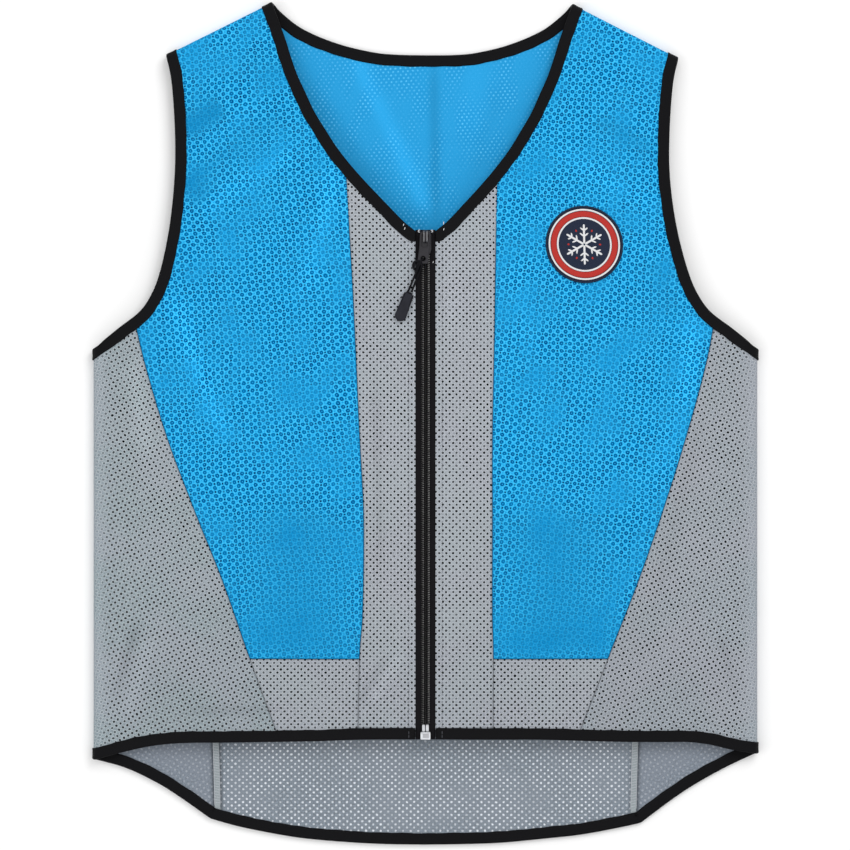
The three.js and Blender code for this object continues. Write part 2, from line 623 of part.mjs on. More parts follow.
// The back: blue above the yoke seam, grey mesh below, each across both halves
function addBack() {
  const yokeSeam = TOP - YOKE_SEAM_DROP;
  const seamEdge = (y) => Math.min(
    grown(curves.left.backSeamX, -SEAM_INSET)(y),
    armholeX.back(y) - along(armholeX.back, y, EDGE_INSET),
  );
  const hem = (x) => {
    const edge = curves[column(x)].backHemY;
    return edge(Math.abs(x)) + along(edge, Math.abs(x), EDGE_INSET);
  };
  const neckLine = (x) => backNeckY(x) - along(backNeckY, x, EDGE_INSET);
  const yokeTop = (x) => {
    const side = Math.abs(x);
    return side < NECK_CORNER.x ? neckLine(side) : shoulderTopY(side) - SEAM_INSET;
  };
  const yokeEdges = {
    inner: (y) => -seamEdge(y),
    outer: seamEdge,
    low: () => yokeSeam + SEAM_INSET,
    high: yokeTop,
  };
  const yoke = between(yokeEdges, yokeShares(seamEdge, yokeTop), shoulderRows(GRID.backYoke.along));
  addPiece('back_yoke', slab(back, yoke, PADDED_CLOTH), BLUE);
  const panelEdges = { ...yokeEdges, low: hem, high: () => yokeSeam - SEAM_INSET };
  const panel = between(panelEdges, shares(GRID.backPanel.across), evenRows(GRID.backPanel.along));
  addPiece('back_panel', slab(back, panel, MESH_CLOTH), GREY);
}

// Columns of the yoke, set by where they meet its top edge, so that the neck keeps its curve and corners
function yokeShares(seamEdge, topEdge) {
  const corner = NECK_CORNER.x + EDGE_INSET * YOKE_CORNER_SHARE;
  const outside = shares(YOKE_SHOULDER_COLUMNS).slice(1, -1).map((s) => lerp(corner, HALF_SHOULDER, s));
  const tops = [...YOKE_NECK_COLUMNS.map((s) => s * NECK_CORNER.x), corner, ...outside];
  const half = [...tops.map((x) => 0.5 * x / seamEdge(topEdge(x))), 0.5];
  return [...half.slice(1).reverse().map((s) => 0.5 - s), ...half.map((s) => 0.5 + s)];
}

// Overlocked seam allowances on the inside of the back seams
function addSeamAllowance(sign) {
  const c = curves[column(sign)];
  const seam = c.backSeamX;
  const edges = {
    inner: (y) => seam(y) - ALLOWANCE_WIDTH,
    outer: seam,
    low: (x) => c.backHemY(x) + BINDING_WIDTH + CLEARANCE * 2,
    high: () => TOP - YOKE_SEAM_DROP - CLEARANCE,
  };
  const grid = between(edges, shares(GRID.allowance.across), evenRows(GRID.allowance.along));
  const lift = MESH_CLOTH / 2 + CLEARANCE + ALLOWANCE_THICKNESS / 2;
  addPiece(`back_seam_${column(sign)}`, slab(back, mirrored(grid, sign), ALLOWANCE_THICKNESS, lift), GREY);
}

// Binding: a folded strip round the cloth's edge. w: in from the finished edge. h: out from the cloth.
const BINDING_SECTION = [
  { w: BINDING_WIDTH, h: BINDING_HALF }, { w: BINDING_CHAMFER, h: BINDING_HALF },
  { w: 0, h: BINDING_HALF - BINDING_CHAMFER }, { w: 0, h: BINDING_CHAMFER - BINDING_HALF },
  { w: BINDING_CHAMFER, h: -BINDING_HALF }, { w: BINDING_WIDTH, h: -BINDING_HALF },
  { w: BINDING_WIDTH, h: -SLOT_HALF }, { w: BINDING_WALL, h: -SLOT_HALF },
  { w: BINDING_WALL, h: SLOT_HALF }, { w: BINDING_WIDTH, h: SLOT_HALF },
];

// Whether a flat point lies past a fold line
const isTurned = (p) => Math.abs(p.x) > FLAT_HALF || (shoulderY(p.x) - p.y) * SHOULDER_COS < FOLD_RADIUS;

// Where the cloth turns over, the binding's legs lie along the fold
function alongFold(point, across) {
  const side = Math.sign(point.x);
  const fold = Math.abs(point.x) > FLAT_HALF
    ? new THREE.Vector2(0, 1)
    : new THREE.Vector2(side * SHOULDER_OUT.y, -SHOULDER_OUT.x);
  return fold.multiplyScalar(Math.sign(fold.dot(across)));
}

// Keep a station where the path has run a full step, where it starts to turn and at each fold line
function stations(path, closed) {
  const places = path.map((p) => p.surface(p.x, p.y));
  const kept = [0];
  let direction = null;
  for (let i = 1; i < path.length; i += 1) {
    const last = kept[kept.length - 1];
    const run = places[i].distanceTo(places[last]);
    const heading = places[i].clone().sub(places[i - 1]).normalize();
    direction = direction ?? heading;
    const turned = direction.angleTo(heading) * 180 / Math.PI;
    const foldStarts = isTurned(path[i]) !== isTurned(path[i - 1]);
    const layerEnds = path[i].surface !== path[i - 1].surface;
    if (run > BINDING_STEP || turned > BINDING_TURN_DEG || foldStarts || layerEnds) {
      kept.push(i - 1 > last ? i - 1 : i);
      direction = heading;
    }
  }
  const end = path.length - 1;
  if (!closed && kept[kept.length - 1] !== end) kept.push(end);
  return kept;
}

// The path is a list of flat points, each on its surface, with the cloth on the given side of it
function sweepBinding(path, clothSide, closed) {
  const kept = stations(path, closed);
  const count = BINDING_SECTION.length;
  const positions = [];
  for (const i of kept) {
    const here = path[i];
    const before = path[i > 0 && path[i - 1].surface === here.surface ? i - 1 : i];
    const after = path[i < path.length - 1 && path[i + 1].surface === here.surface ? i + 1 : i];
    const run = new THREE.Vector2(after.x - before.x, after.y - before.y).normalize();
    const across = new THREE.Vector2(-run.y, run.x).multiplyScalar(clothSide * here.facing);
    const inward = isTurned(here) ? alongFold(here, across) : across;
    for (const { w, h } of BINDING_SECTION) {
      const x = here.x + inward.x * w;
      const y = here.y + inward.y * w;
      const out = normalAt(here.surface, x, y).multiplyScalar(h * here.facing);
      positions.push(...here.surface(x, y).add(out).toArray());
    }
  }
  const index = [];
  const rings = closed ? kept.length : kept.length - 1;
  for (let r = 0; r < rings; r += 1) {
    const next = (r + 1) % kept.length;
    for (let k = 0; k < count; k += 1) {
      const m = (k + 1) % count;
      const [a, b, c, d] = [r * count + k, r * count + m, next * count + m, next * count + k];
      index.push(a, b, c, a, c, d);
    }
  }
  if (!closed) {
    const outline = BINDING_SECTION.map(({ w, h }) => new THREE.Vector2(w, h));
    for (const [p, q, r] of THREE.ShapeUtils.triangulateShape(outline, [])) {
      const start = (kept.length - 1) * count;
      index.push(q, p, r, start + p, start + q, start + r);
    }
  }
  return closedGeometry(positions, index);
}

// Flat points of an edge on one surface. facing is 1 on the front and -1 on the back.
const onFront = (points, sign = 1) => points.map((p) => ({ x: sign * p.x, y: p.y, surface: front, facing: 1 }));
const onBack = (points, sign = 1) => points.map((p) => ({ x: sign * p.x, y: p.y, surface: back, facing: -1 }));
function armholePath(sign) {
  const frontRun = [seamPoint(armhole.front), ...armhole.front.filter(belowShoulderSeam)];
  const backRun = armhole.back.filter(belowShoulderSeam);
  return [...onFront(frontRun, sign), ...onBack(upwards(backRun).slice(1), sign)];
}

function neckPath() {
  const frontRun = [NECK_CORNER, ...neckPoints.filter(belowShoulderSeam)];
  return [
    ...onFront(upwards(frontRun), -1),
    ...onBack(upwards(backNeckPoints).slice(1), -1),
    ...onBack(backNeckPoints.slice(1, -1), 1),
    ...onFront(frontRun, 1),
  ];
}

function hemPath() {
  const run = (sign, name, from, to) => samples((t) => {
    const x = lerp(from, to, t);
    return { x: sign * x, y: curves[column(sign)][name](x) };
  });
  const start = ZIP_HALF_WIDTH + SEAM_INSET;
  return [
    ...onFront(run(-1, 'frontHemY', start, FOLD_X)),
    ...onBack(run(-1, 'backHemY', FOLD_X, 0).slice(1)),
    ...onBack(run(1, 'backHemY', 0, FOLD_X).slice(1)),
    ...onFront(run(1, 'frontHemY', FOLD_X, start).slice(1)),
  ];
}

// Zip: tapes, coil rows, stops and the box at the hem, all on the front surface
const ZIP_TOP_Y = TOP - FRONT_NECK_DROP + ZIP_TOP_RISE;
const HEM_CENTER_Y = TOP - FRONT_LENGTH;
const TAPE_TOP = TAPE_CLOTH / 2 - TAPE_SINK;
const COIL_BOTTOM = TAPE_TOP + CLEARANCE;
const COIL_TOP = COIL_BOTTOM + COIL_HEIGHT;
const SLIDER_TOP_Y = ZIP_TOP_Y - CLEARANCE;
const SLIDER_MIDDLE_Y = SLIDER_TOP_Y - SLIDER_LENGTH / 2;
const COIL_END_Y = HEM_CENTER_Y + BOX_SIZE.length + PIN_SIZE.length + 2 * CLEARANCE;

function addZipHalf(sign) {
  const half = column(sign);
  const tapeEdges = {
    inner: () => ZIP_MIDDLE_GAP,
    outer: () => ZIP_HALF_WIDTH - SEAM_INSET,
    low: () => HEM_CENTER_Y,
    high: () => ZIP_TOP_Y,
  };
  const tape = between(tapeEdges, shares(GRID.tape.across), evenRows(GRID.tape.along));
  addPiece(`zip_tape_${half}`, slab(front, mirrored(tape, sign), TAPE_CLOTH, -TAPE_SINK), BLACK_CLOTH);

  const inner = ZIP_MIDDLE_GAP / 2;
  const profile = COIL_SECTION.map(({ across, up }) => ({
    x: inner + COIL_WIDTH * across,
    z: COIL_BOTTOM + COIL_HEIGHT * up,
  }));
  addPiece(`zip_coil_${half}`, sweepAlongZip(profile, sign), BLACK_CLOTH);
}

function sweepAlongZip(profile, sign) {
  const count = profile.length;
  const rings = GRID.coil.along + 1;
  const positions = [];
  for (const t of shares(GRID.coil.along)) {
    const y = lerp(COIL_END_Y, SLIDER_TOP_Y, t);
    for (const p of profile) {
      const place = front(sign * p.x, y);
      positions.push(place.x, place.y, place.z + p.z);
    }
  }
  const index = [];
  for (let r = 0; r < rings - 1; r += 1) {
    for (let k = 0; k < count; k += 1) {
      const m = (k + 1) % count;
      const [a, b, c, d] = [r * count + k, r * count + m, (r + 1) * count + m, (r + 1) * count + k];
      index.push(a, b, c, a, c, d);
    }
  }
  for (let k = 1; k < count - 1; k += 1) {
    const end = (rings - 1) * count;
    index.push(0, k + 1, k, end, end + k, end + k + 1);
  }
  return closedGeometry(positions, index);
}

// A group that sits on the zip at a given height, tilted with the cloth
const SLOPE_REACH = 10;
const zipSlope = (y) => (front(0, y + SLOPE_REACH / 2).z - front(0, y - SLOPE_REACH / 2).z) / SLOPE_REACH;
function zipPlace(y, height) {
  const group = new THREE.Group();
  const place = front(0, y);
  group.position.set(0, place.y, place.z + height);
  group.rotation.x = Math.atan(zipSlope(y));
  vest.add(group);
  return group;
}

function addSmallBlock(name, size, x, y, height, look) {
  const geometry = new THREE.BoxGeometry(size.width, size.length, size.height);
  const block = addPiece(name, geometry, look, zipPlace(y, height));
  block.position.x = x;
}

function addZipFittings() {
  const stopX = STOP_INNER_X + STOP_SIZE.width / 2;
  const stopY = ZIP_TOP_Y - STOP_SIZE.length / 2;
  const stopHeight = COIL_BOTTOM + STOP_SIZE.height / 2;
  const pinX = PIN_SIZE.width / 2 + CLEARANCE;
  const pinY = HEM_CENTER_Y + BOX_SIZE.length + CLEARANCE + PIN_SIZE.length / 2;
  const pinHeight = COIL_BOTTOM + PIN_SIZE.height / 2;
  for (const sign of [-1, 1]) {
    addSmallBlock(`zip_stop_${column(sign)}`, STOP_SIZE, sign * stopX, stopY, stopHeight, SILVER);
    addSmallBlock(`zip_pin_${column(sign)}`, PIN_SIZE, sign * pinX, pinY, pinHeight, SILVER);
  }
  const boxY = HEM_CENTER_Y + BOX_SIZE.length / 2;
  addSmallBlock('zip_box', BOX_SIZE, 0, boxY, COIL_BOTTOM + BOX_SIZE.height / 2, SILVER);
}

// Solids for cutting and joining
const wasm = await Module();
wasm.setup();
function solidOf(geometry) {
  const bare = geometry.clone();
  bare.deleteAttribute('normal');
  bare.deleteAttribute('uv');
  const merged = mergeVertices(bare);
  return new wasm.Manifold(new wasm.Mesh({
    numProp: 3,
    vertProperties: new Float32Array(merged.attributes.position.array),
    triVerts: new Uint32Array(merged.index.array),
  }));
}
function geometryOf(solid) {
  const mesh = solid.getMesh();
  return closedGeometry(Array.from(mesh.vertProperties), Array.from(mesh.triVerts));
}
function boxSolid(width, length, height, x, y, z) {
  return solidOf(new THREE.BoxGeometry(width, length, height).translate(x, y, z));
}

// Slider: a channel over both coil rows, with a bridge that holds the tab's crossbar
const CHANNEL_HALF = ZIP_MIDDLE_GAP / 2 + COIL_WIDTH + CLEARANCE;
const SLIDER_HALF = CHANNEL_HALF + SLIDER_WALL;
const CHANNEL_HEIGHT = COIL_HEIGHT + CLEARANCE;
const SLIDER_TOP = CHANNEL_HEIGHT + SLIDER_PLATE;
const BRIDGE_TOP_Y = SLIDER_LENGTH / 2 - BRIDGE_SETBACK;
const BRIDGE_Y = BRIDGE_TOP_Y - BRIDGE_LENGTH / 2;

function addSlider() {
  const half = SLIDER_LENGTH / 2;
  const foot = SLIDER_HALF - SLIDER_TAPER.width;
  const flareY = SLIDER_TAPER.length - half;
  const cornerX = SLIDER_HALF - SLIDER_CORNER.width;
  const cornerY = half - SLIDER_CORNER.length;
  const outline = new THREE.Shape([
    new THREE.Vector2(-foot, -half), new THREE.Vector2(foot, -half),
    new THREE.Vector2(SLIDER_HALF, flareY), new THREE.Vector2(SLIDER_HALF, cornerY),
    new THREE.Vector2(cornerX, half), new THREE.Vector2(-cornerX, half),
    new THREE.Vector2(-SLIDER_HALF, cornerY), new THREE.Vector2(-SLIDER_HALF, flareY),
  ]);
  const body = solidOf(new THREE.ExtrudeGeometry(outline, { depth: SLIDER_TOP, bevelEnabled: false }));
  const channel = boxSolid(2 * CHANNEL_HALF, SLIDER_LENGTH * 2, 2 * CHANNEL_HEIGHT, 0, 0, 0);
  const bridgeZ = SLIDER_TOP + (BRIDGE_HEIGHT - JOIN_DEPTH) / 2;
  const bridge = boxSolid(BRIDGE_WIDTH, BRIDGE_LENGTH, BRIDGE_HEIGHT + JOIN_DEPTH, 0, BRIDGE_Y, bridgeZ);
  const holeLength = BRIDGE_LENGTH - 2 * BRIDGE_BAR;
  const holeHeight = BRIDGE_HEIGHT - BRIDGE_BAR;
  const hole = boxSolid(BRIDGE_WIDTH * 2, holeLength, holeHeight, 0, BRIDGE_Y, SLIDER_TOP + holeHeight / 2);
  const solid = body.subtract(channel).add(bridge.subtract(hole));
  addPiece('zip_slider', geometryOf(solid), BLACK_METAL, zipPlace(SLIDER_MIDDLE_Y, COIL_BOTTOM));
}

// Pull tab: a flat tongue. Its crossbar lies in the bridge and its eye takes the cord.
const TAB_TOP_Y = BRIDGE_TOP_Y - BRIDGE_BAR - CLEARANCE;
const TAB_BOTTOM = COIL_BOTTOM + SLIDER_TOP + CLEARANCE;
const EYE_RUN = TAB_LENGTH - TAB_END_BAR - TAB_EYE / 2;
const tabTurn = TAB_LEAN_DEG * Math.PI / 180;

function circlePoints(x, y, radius, sides) {
  return Array.from({ length: sides }, (_, i) => {
    const angle = 2 * Math.PI * i / sides;
    return new THREE.Vector2(x + radius * Math.cos(angle), y + radius * Math.sin(angle));
  });
}

function addPullTab() {
  const half = TAB_WIDTH / 2;
  const waist = half - TAB_WAIST;
  const round = TAB_ROUND;
  const outline = new THREE.Shape();
  outline.moveTo(-half + round, 0);
  outline.lineTo(half - round, 0);
  outline.quadraticCurveTo(half, 0, half, -round);
  outline.lineTo(waist, -TAB_LENGTH / 2);
  outline.lineTo(half, -TAB_LENGTH + round);
  outline.quadraticCurveTo(half, -TAB_LENGTH, half - round, -TAB_LENGTH);
  outline.lineTo(round - half, -TAB_LENGTH);
  outline.quadraticCurveTo(-half, -TAB_LENGTH, -half, round - TAB_LENGTH);
  outline.lineTo(-waist, -TAB_LENGTH / 2);
  outline.lineTo(-half, -round);
  outline.quadraticCurveTo(-half, 0, round - half, 0);
  const slotHalf = half - TAB_RAIL;
  const slotEnd = -(BRIDGE_LENGTH + TAB_RAIL);
  const slot = new THREE.Path([
    new THREE.Vector2(-slotHalf, -TAB_RAIL), new THREE.Vector2(-slotHalf, slotEnd),
    new THREE.Vector2(slotHalf, slotEnd), new THREE.Vector2(slotHalf, -TAB_RAIL),
  ]);
  const eye = new THREE.Path(circlePoints(0, -EYE_RUN, TAB_EYE / 2, EYE_SIDES));
  outline.holes.push(slot, eye);
  const options = { depth: TAB_THICKNESS, bevelEnabled: false, curveSegments: 5 };
  const place = zipPlace(SLIDER_MIDDLE_Y, TAB_BOTTOM);
  const tab = addPiece('zip_pull_tab', new THREE.ExtrudeGeometry(outline, options), BLACK_METAL, place);
  tab.position.set(0, TAB_TOP_Y, 0);
  tab.rotation.z = tabTurn;
}

// Pull cord and grip
const EYE = {
  x: Math.sin(tabTurn) * EYE_RUN,
  y: SLIDER_MIDDLE_Y + TAB_TOP_Y - Math.cos(tabTurn) * EYE_RUN,
};
const gripTurn = GRIP_LEAN_DEG * Math.PI / 180;
const gripTop = { x: GRIP_TOP.x, y: TOP - GRIP_TOP.dropFromNeck };
const gripDown = { x: Math.sin(gripTurn), y: -Math.cos(gripTurn) };
const GRIP_FLOOR = MESH_CLOTH / 2 + CLEARANCE;
const gripMiddle = {
  x: gripTop.x + gripDown.x * GRIP_LENGTH / 2,
  y: gripTop.y + gripDown.y * GRIP_LENGTH / 2,
};
const gripZ = front(gripMiddle.x, gripMiddle.y).z + GRIP_FLOOR + GRIP_THICKNESS / 2;
const eyeFall = (EYE.y - SLIDER_MIDDLE_Y) * zipSlope(SLIDER_MIDDLE_Y);
const tabZ = front(0, SLIDER_MIDDLE_Y).z + eyeFall + TAB_BOTTOM + TAB_THICKNESS / 2;

// The cord's heights at the eye, and the line from grip to eye
const cordHigh = tabZ + TAB_THICKNESS / 2 + CLEARANCE + CORD_DIAMETER / 2;
const cordLow = front(0, EYE.y).z + COIL_TOP + CLEARANCE + CORD_DIAMETER / 2;
const eyeStep = { x: EYE.x - gripTop.x, y: EYE.y - gripTop.y };
const cordSpan = Math.hypot(eyeStep.x, eyeStep.y);
const cordRoute = CORD_ROUTE.map(({ aside, up, level, rise }) => {
  const off = aside * CORD_DIAMETER / cordSpan;
  return new THREE.Vector3(
    gripTop.x + eyeStep.x * up + eyeStep.y * off,
    gripTop.y + eyeStep.y * up - eyeStep.x * off,
    lerp(gripZ, lerp(cordLow, cordHigh, level), rise),
  );
});

function addPull() {
  const section = new THREE.Shape(circlePoints(0, 0, CORD_DIAMETER / 2, CORD_SIDES));
  const path = new THREE.CatmullRomCurve3(cordRoute, false, 'centripetal');
  const tube = new THREE.ExtrudeGeometry(section, { steps: CORD_STEPS, extrudePath: path });
  addPiece('zip_pull_cord', tube, BLACK_CLOTH);

  const top = GRIP_TOP_WIDTH / 2 - GRIP_BEVEL;
  const end = GRIP_END_WIDTH / 2 - GRIP_BEVEL;
  const outline = new THREE.Shape();
  outline.moveTo(-top, -GRIP_BEVEL);
  outline.lineTo(-end, end + GRIP_BEVEL - GRIP_LENGTH);
  outline.absarc(0, end + GRIP_BEVEL - GRIP_LENGTH, end, Math.PI, 2 * Math.PI, false);
  outline.lineTo(top, -GRIP_BEVEL);
  const options = {
    depth: GRIP_THICKNESS - 2 * GRIP_BEVEL, bevelEnabled: true, bevelThickness: GRIP_BEVEL,
    bevelSize: GRIP_BEVEL, bevelSegments: 2, curveSegments: 8,
  };
  const grip = addPiece('zip_pull_grip', new THREE.ExtrudeGeometry(outline, options), BLACK_RUBBER);
  grip.geometry.translate(0, 0, GRIP_BEVEL - GRIP_THICKNESS / 2);
  grip.position.set(gripTop.x, gripTop.y, gripZ);
  grip.rotation.z = gripTurn;
}

// Badge: a round patch that follows the cloth
function addBadge() {
  const sides = BADGE_SIDES;
  const rings = BADGE_RINGS;
  const lift = PADDED_CLOTH / 2 + CLEARANCE;
  const positions = [];
  const put = (x, y, h) => {
    const out = normalAt(front, x, y).multiplyScalar(h);
    positions.push(...front(x, y).add(out).toArray());
  };
  const center = { x: BADGE_PLACE.x, y: TOP - BADGE_PLACE.drop };
  for (const h of [lift + BADGE_THICKNESS, lift]) {
    put(center.x, center.y, h);
    for (let r = 1; r <= rings; r += 1) {
      for (let k = 0; k < sides; k += 1) {
        const angle = 2 * Math.PI * k / sides;
        const radius = BADGE_DIAMETER / 2 * r / rings;
        put(center.x + radius * Math.cos(angle), center.y + radius * Math.sin(angle), h);
      }
    }
  }
  const layer = 1 + rings * sides;
  const at = (r, k, side) => side * layer + 1 + (r - 1) * sides + (k % sides);
  const index = [];
  const quad = (a, b, c, d) => index.push(a, b, c, a, c, d);
  for (let k = 0; k < sides; k += 1) {
    index.push(0, at(1, k, 0), at(1, k + 1, 0), layer, at(1, k + 1, 1), at(1, k, 1));
    for (let r = 1; r < rings; r += 1) {
      quad(at(r, k, 0), at(r + 1, k, 0), at(r + 1, k + 1, 0), at(r, k + 1, 0));
      quad(at(r, k, 1), at(r, k + 1, 1), at(r + 1, k + 1, 1), at(r + 1, k, 1));
    }
    quad(at(rings, k, 0), at(rings, k, 1), at(rings, k + 1, 1), at(rings, k + 1, 0));
  }
  addPiece('chest_badge', closedGeometry(positions, index), finish(0x1d2c4a, 0.7));
}

for (const sign of [-1, 1]) {
  addFrontHalf(sign);
  addSidePanel(sign);
  addSeamAllowance(sign);
  addPiece(`armhole_binding_${column(sign)}`, sweepBinding(armholePath(sign), -sign, true), BLACK_CLOTH);
  addZipHalf(sign);
}
addBack();
addPiece('neck_binding', sweepBinding(neckPath(), 1, false), BLACK_CLOTH);
addPiece('hem_binding', sweepBinding(hemPath(), -1, false), BLACK_CLOTH);
addZipFittings();
addSlider();
addPullTab();
addPull();
addBadge();

export default vest;
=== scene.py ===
"""Looks of a zip-front cooling vest that lies flat on its back, zipped up."""

import math

import bmesh
import bpy
import numpy as np
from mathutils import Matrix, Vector


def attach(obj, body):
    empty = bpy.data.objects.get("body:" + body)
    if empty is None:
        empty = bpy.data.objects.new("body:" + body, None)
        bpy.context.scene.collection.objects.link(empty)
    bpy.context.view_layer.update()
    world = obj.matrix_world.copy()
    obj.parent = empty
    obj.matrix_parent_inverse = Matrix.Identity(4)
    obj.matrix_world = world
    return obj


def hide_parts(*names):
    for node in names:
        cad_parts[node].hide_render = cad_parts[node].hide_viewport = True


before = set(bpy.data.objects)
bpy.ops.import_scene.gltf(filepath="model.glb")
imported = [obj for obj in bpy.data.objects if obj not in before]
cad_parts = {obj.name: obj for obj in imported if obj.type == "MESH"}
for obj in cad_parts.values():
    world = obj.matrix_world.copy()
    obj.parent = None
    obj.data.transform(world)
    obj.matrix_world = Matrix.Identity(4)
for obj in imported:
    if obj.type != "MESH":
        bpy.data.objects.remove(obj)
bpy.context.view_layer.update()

# Sizes in millimetres, the same as the solids have. Meshes are scaled to metres when they are made.
MM = 0.001
BODY_LENGTH, CHEST_WIDTH, SHOULDER_WIDTH, SHOULDER_DROP = 726.5, 571.0, 442.0, 46.0
NECK_WIDTH, FRONT_NECK_DROP, BACK_NECK_DROP, UNDERARM_DROP = 259.0, 197.0, 44.0, 298.0
FRONT_LENGTH, SIDE_LENGTH, TAIL_CORNER_HALF = 634.0, 650.0, 186.0
PANEL_SEAM_DROP, YOKE_SEAM_DROP, CENTER_SEAM_HALF = 565.0, 342.0, 65.0
FOLD_RADIUS, FRONT_LOFT, LOFT_ROUNDNESS = 5.2, 11.0, 1.5
HEM_LOFT_SHARE, HEM_LOFT_REACH = 0.62, 1 / 3
SOFT_FOLD_FADE, SOFT_FOLD_SHOULDER_FADE = 0.35, 60.0
SHOULDER_LEAN, SHOULDER_TILT, LEAN_ONSET = 2.8, 0.006, 1.5
BACK_ARMHOLE_INSET, SHOULDER_FOLD_DROP, MIDDLE_SHIFT = 2.5, 1.2, 0.8
PADDED, MESH, TAPE = 2.4, 2.0, 1.2
CLEARANCE = 0.3
BINDING_WIDTH, EDGE_INSET, BINDING_HALF = 10.0, 2.3, 2.4
EDGE_LIFT_REACH = 60.0
ALLOWANCE_WIDTH, ALLOWANCE_THICKNESS = 5.0, 1.1
ZIP_HALF, ZIP_MIDDLE_GAP, ZIP_TOP_RISE, TAPE_SINK = 8.6, 0.5, 1.0, 0.4
COIL_WIDTH, COIL_HEIGHT, COIL_PITCH = 3.4, 1.6, 1.9
SLIDER_LENGTH, SLIDER_PLATE, SLIDER_WALL = 21.0, 2.0, 1.1
SLIDER_FOOT, SLIDER_CORNER = (1.2, 3.6), (2.9, 3.6)
BRIDGE_LENGTH, BRIDGE_WIDTH, BRIDGE_HEIGHT, BRIDGE_BAR, BRIDGE_SETBACK = 11.0, 3.2, 4.0, 1.2, 0.6
TAB_LENGTH, TAB_WIDTH, TAB_THICKNESS, TAB_RAIL, TAB_END_BAR, TAB_EYE = 27.0, 9.4, 1.3, 1.9, 2.2, 4.2
TAB_LEAN, TAB_WAIST, TAB_ROUND = math.radians(-5), 0.5, 2.0
STOP, STOP_INNER_X = (2.2, 2.6, 1.8), 4.4
BOX = (8.6, 6.6, 3.0)
PIN = (2.6, 6.0, 2.0)
CORD_DIAMETER = 1.8
GRIP_LENGTH, GRIP_TOP_WIDTH, GRIP_END_WIDTH, GRIP_THICKNESS = 26.0, 8.2, 10.0, 4.4
GRIP_LEAN = math.radians(-21)
# The hitch of the cord under the tab's eye: two loops of x, y and height over the coil
KNOT_LOOPS = [
    [(-3.6, 133.4, 0.6), (-2.9, 136.0, 1.6), (-4.0, 138.5, 2.4), (-6.4, 139.4, 2.6), (-9.0, 138.7, 2.3),
     (-10.4, 136.4, 1.6), (-10.0, 133.6, 0.9), (-8.6, 131.8, 0.4)],
    [(-6.6, 132.2, 1.6), (-7.4, 134.6, 2.6), (-6.4, 136.9, 3.2), (-4.2, 137.0, 3.2), (-3.2, 135.0, 2.4),
     (-4.2, 132.6, 1.4)],
]
BADGE_DIAMETER, BADGE_X, BADGE_DROP = 67.0, 138.0, 208.0
# Room left between neighbours: on each side of a seam, beside the zip tape, and at the shoulder's fold
SEAM_GAP, TAPE_GAP, SHOULDER_GAP = 0.03, 0.02, 0.2
SHOULDER_ROWS = 10

TOP = BODY_LENGTH / 2 - MIDDLE_SHIFT
BADGE_Y = TOP - BADGE_DROP
HALF_CHEST, HALF_SHOULDER, HALF_NECK = CHEST_WIDTH / 2, SHOULDER_WIDTH / 2, NECK_WIDTH / 2
FLAT_HALF = HALF_CHEST - FOLD_RADIUS
FOLD_ARC = FOLD_RADIUS * math.pi / 2
FOLD_X = FLAT_HALF + FOLD_ARC
BACK_LEVEL = PADDED / 2
EDGE_LIFT = BINDING_HALF - BACK_LEVEL
SHOULDER_SLOPE = SHOULDER_DROP / (HALF_SHOULDER - HALF_NECK)
SHOULDER_COS = 1 / math.hypot(1, SHOULDER_SLOPE)
SHOULDER_OUT = (SHOULDER_SLOPE * SHOULDER_COS, SHOULDER_COS)

# Tables of the edges, as shares of the sizes above
NECKLINE = [(0, 1), (0.16, 0.905), (0.24, 0.865), (0.32, 0.819), (0.4, 0.76), (0.48, 0.7), (0.56, 0.622),
            (0.64, 0.54), (0.72, 0.44), (0.8, 0.327), (0.88, 0.205), (0.96, 0.08), (1, 0)]
BACK_NECKLINE = [(0, 0), (0.2, 0.01), (0.34, 0.05), (0.57, 0.21), (0.8, 0.49), (0.94, 0.8), (1, 1)]
ARMHOLE = [(-0.08, 0.07), (0, 0), (0.065, -0.058), (0.127, -0.086), (0.25, -0.115), (0.374, -0.119),
           (0.497, -0.083), (0.621, -0.01), (0.744, 0.106), (0.806, 0.198), (0.868, 0.352),
           (0.93, 0.647), (0.972, 0.84), (0.992, 0.92), (1, 1)]
# The last two columns are the wearer's right and left
FRONT_HEM = [(0, 0, 0), (0.2, 0.02, 0.02), (0.335, 0.11, 0.02), (0.57, 0.18, 0.14), (0.72, 0.21, 0.17),
             (0.8, 0.32, 0.18), (0.86, 0.5, 0.32), (0.92, 0.76, 0.58), (1, 1.14, 0.82)]
TAIL_FLANK = [(0, 0.705, 0.755), (0.25, 0.475, 0.51), (0.45, 0.31, 0.335), (0.73, 0.135, 0.13),
              (1, 0.035, -0.035)]
TAIL_MIDDLE = [(0, 1, 1), (0.18, 0.994, 0.994), (0.36, 0.972, 0.977), (0.57, 0.927, 0.928),
               (0.72, 0.868, 0.888), (0.875, 0.79, 0.82), (1, 0.705, 0.755)]
CENTER_SEAM = [(0.2, 1.045, 0.985), (0.344, 0.975, 0.935), (0.472, 0.92, 0.905), (0.589, 0.868, 0.882),
               (0.7, 0.815, 0.882), (0.833, 0.83, 0.882), (0.882, 0.868, 0.895), (1, 0.895, 0.895)]
SIDE_SEAM = [(0.42, 0.884, 0.878), (0.49, 0.847, 0.847), (0.589, 0.781, 0.787), (0.687, 0.699, 0.718),
             (0.785, 0.612, 0.642), (0.883, 0.536, 0.557), (1, 0.441, 0.456)]
BACK_SEAM = [(0.37, 0.88), (0.46, 0.81), (0.56, 0.745), (0.68, 0.69), (0.83, 0.65), (1, 0.635)]
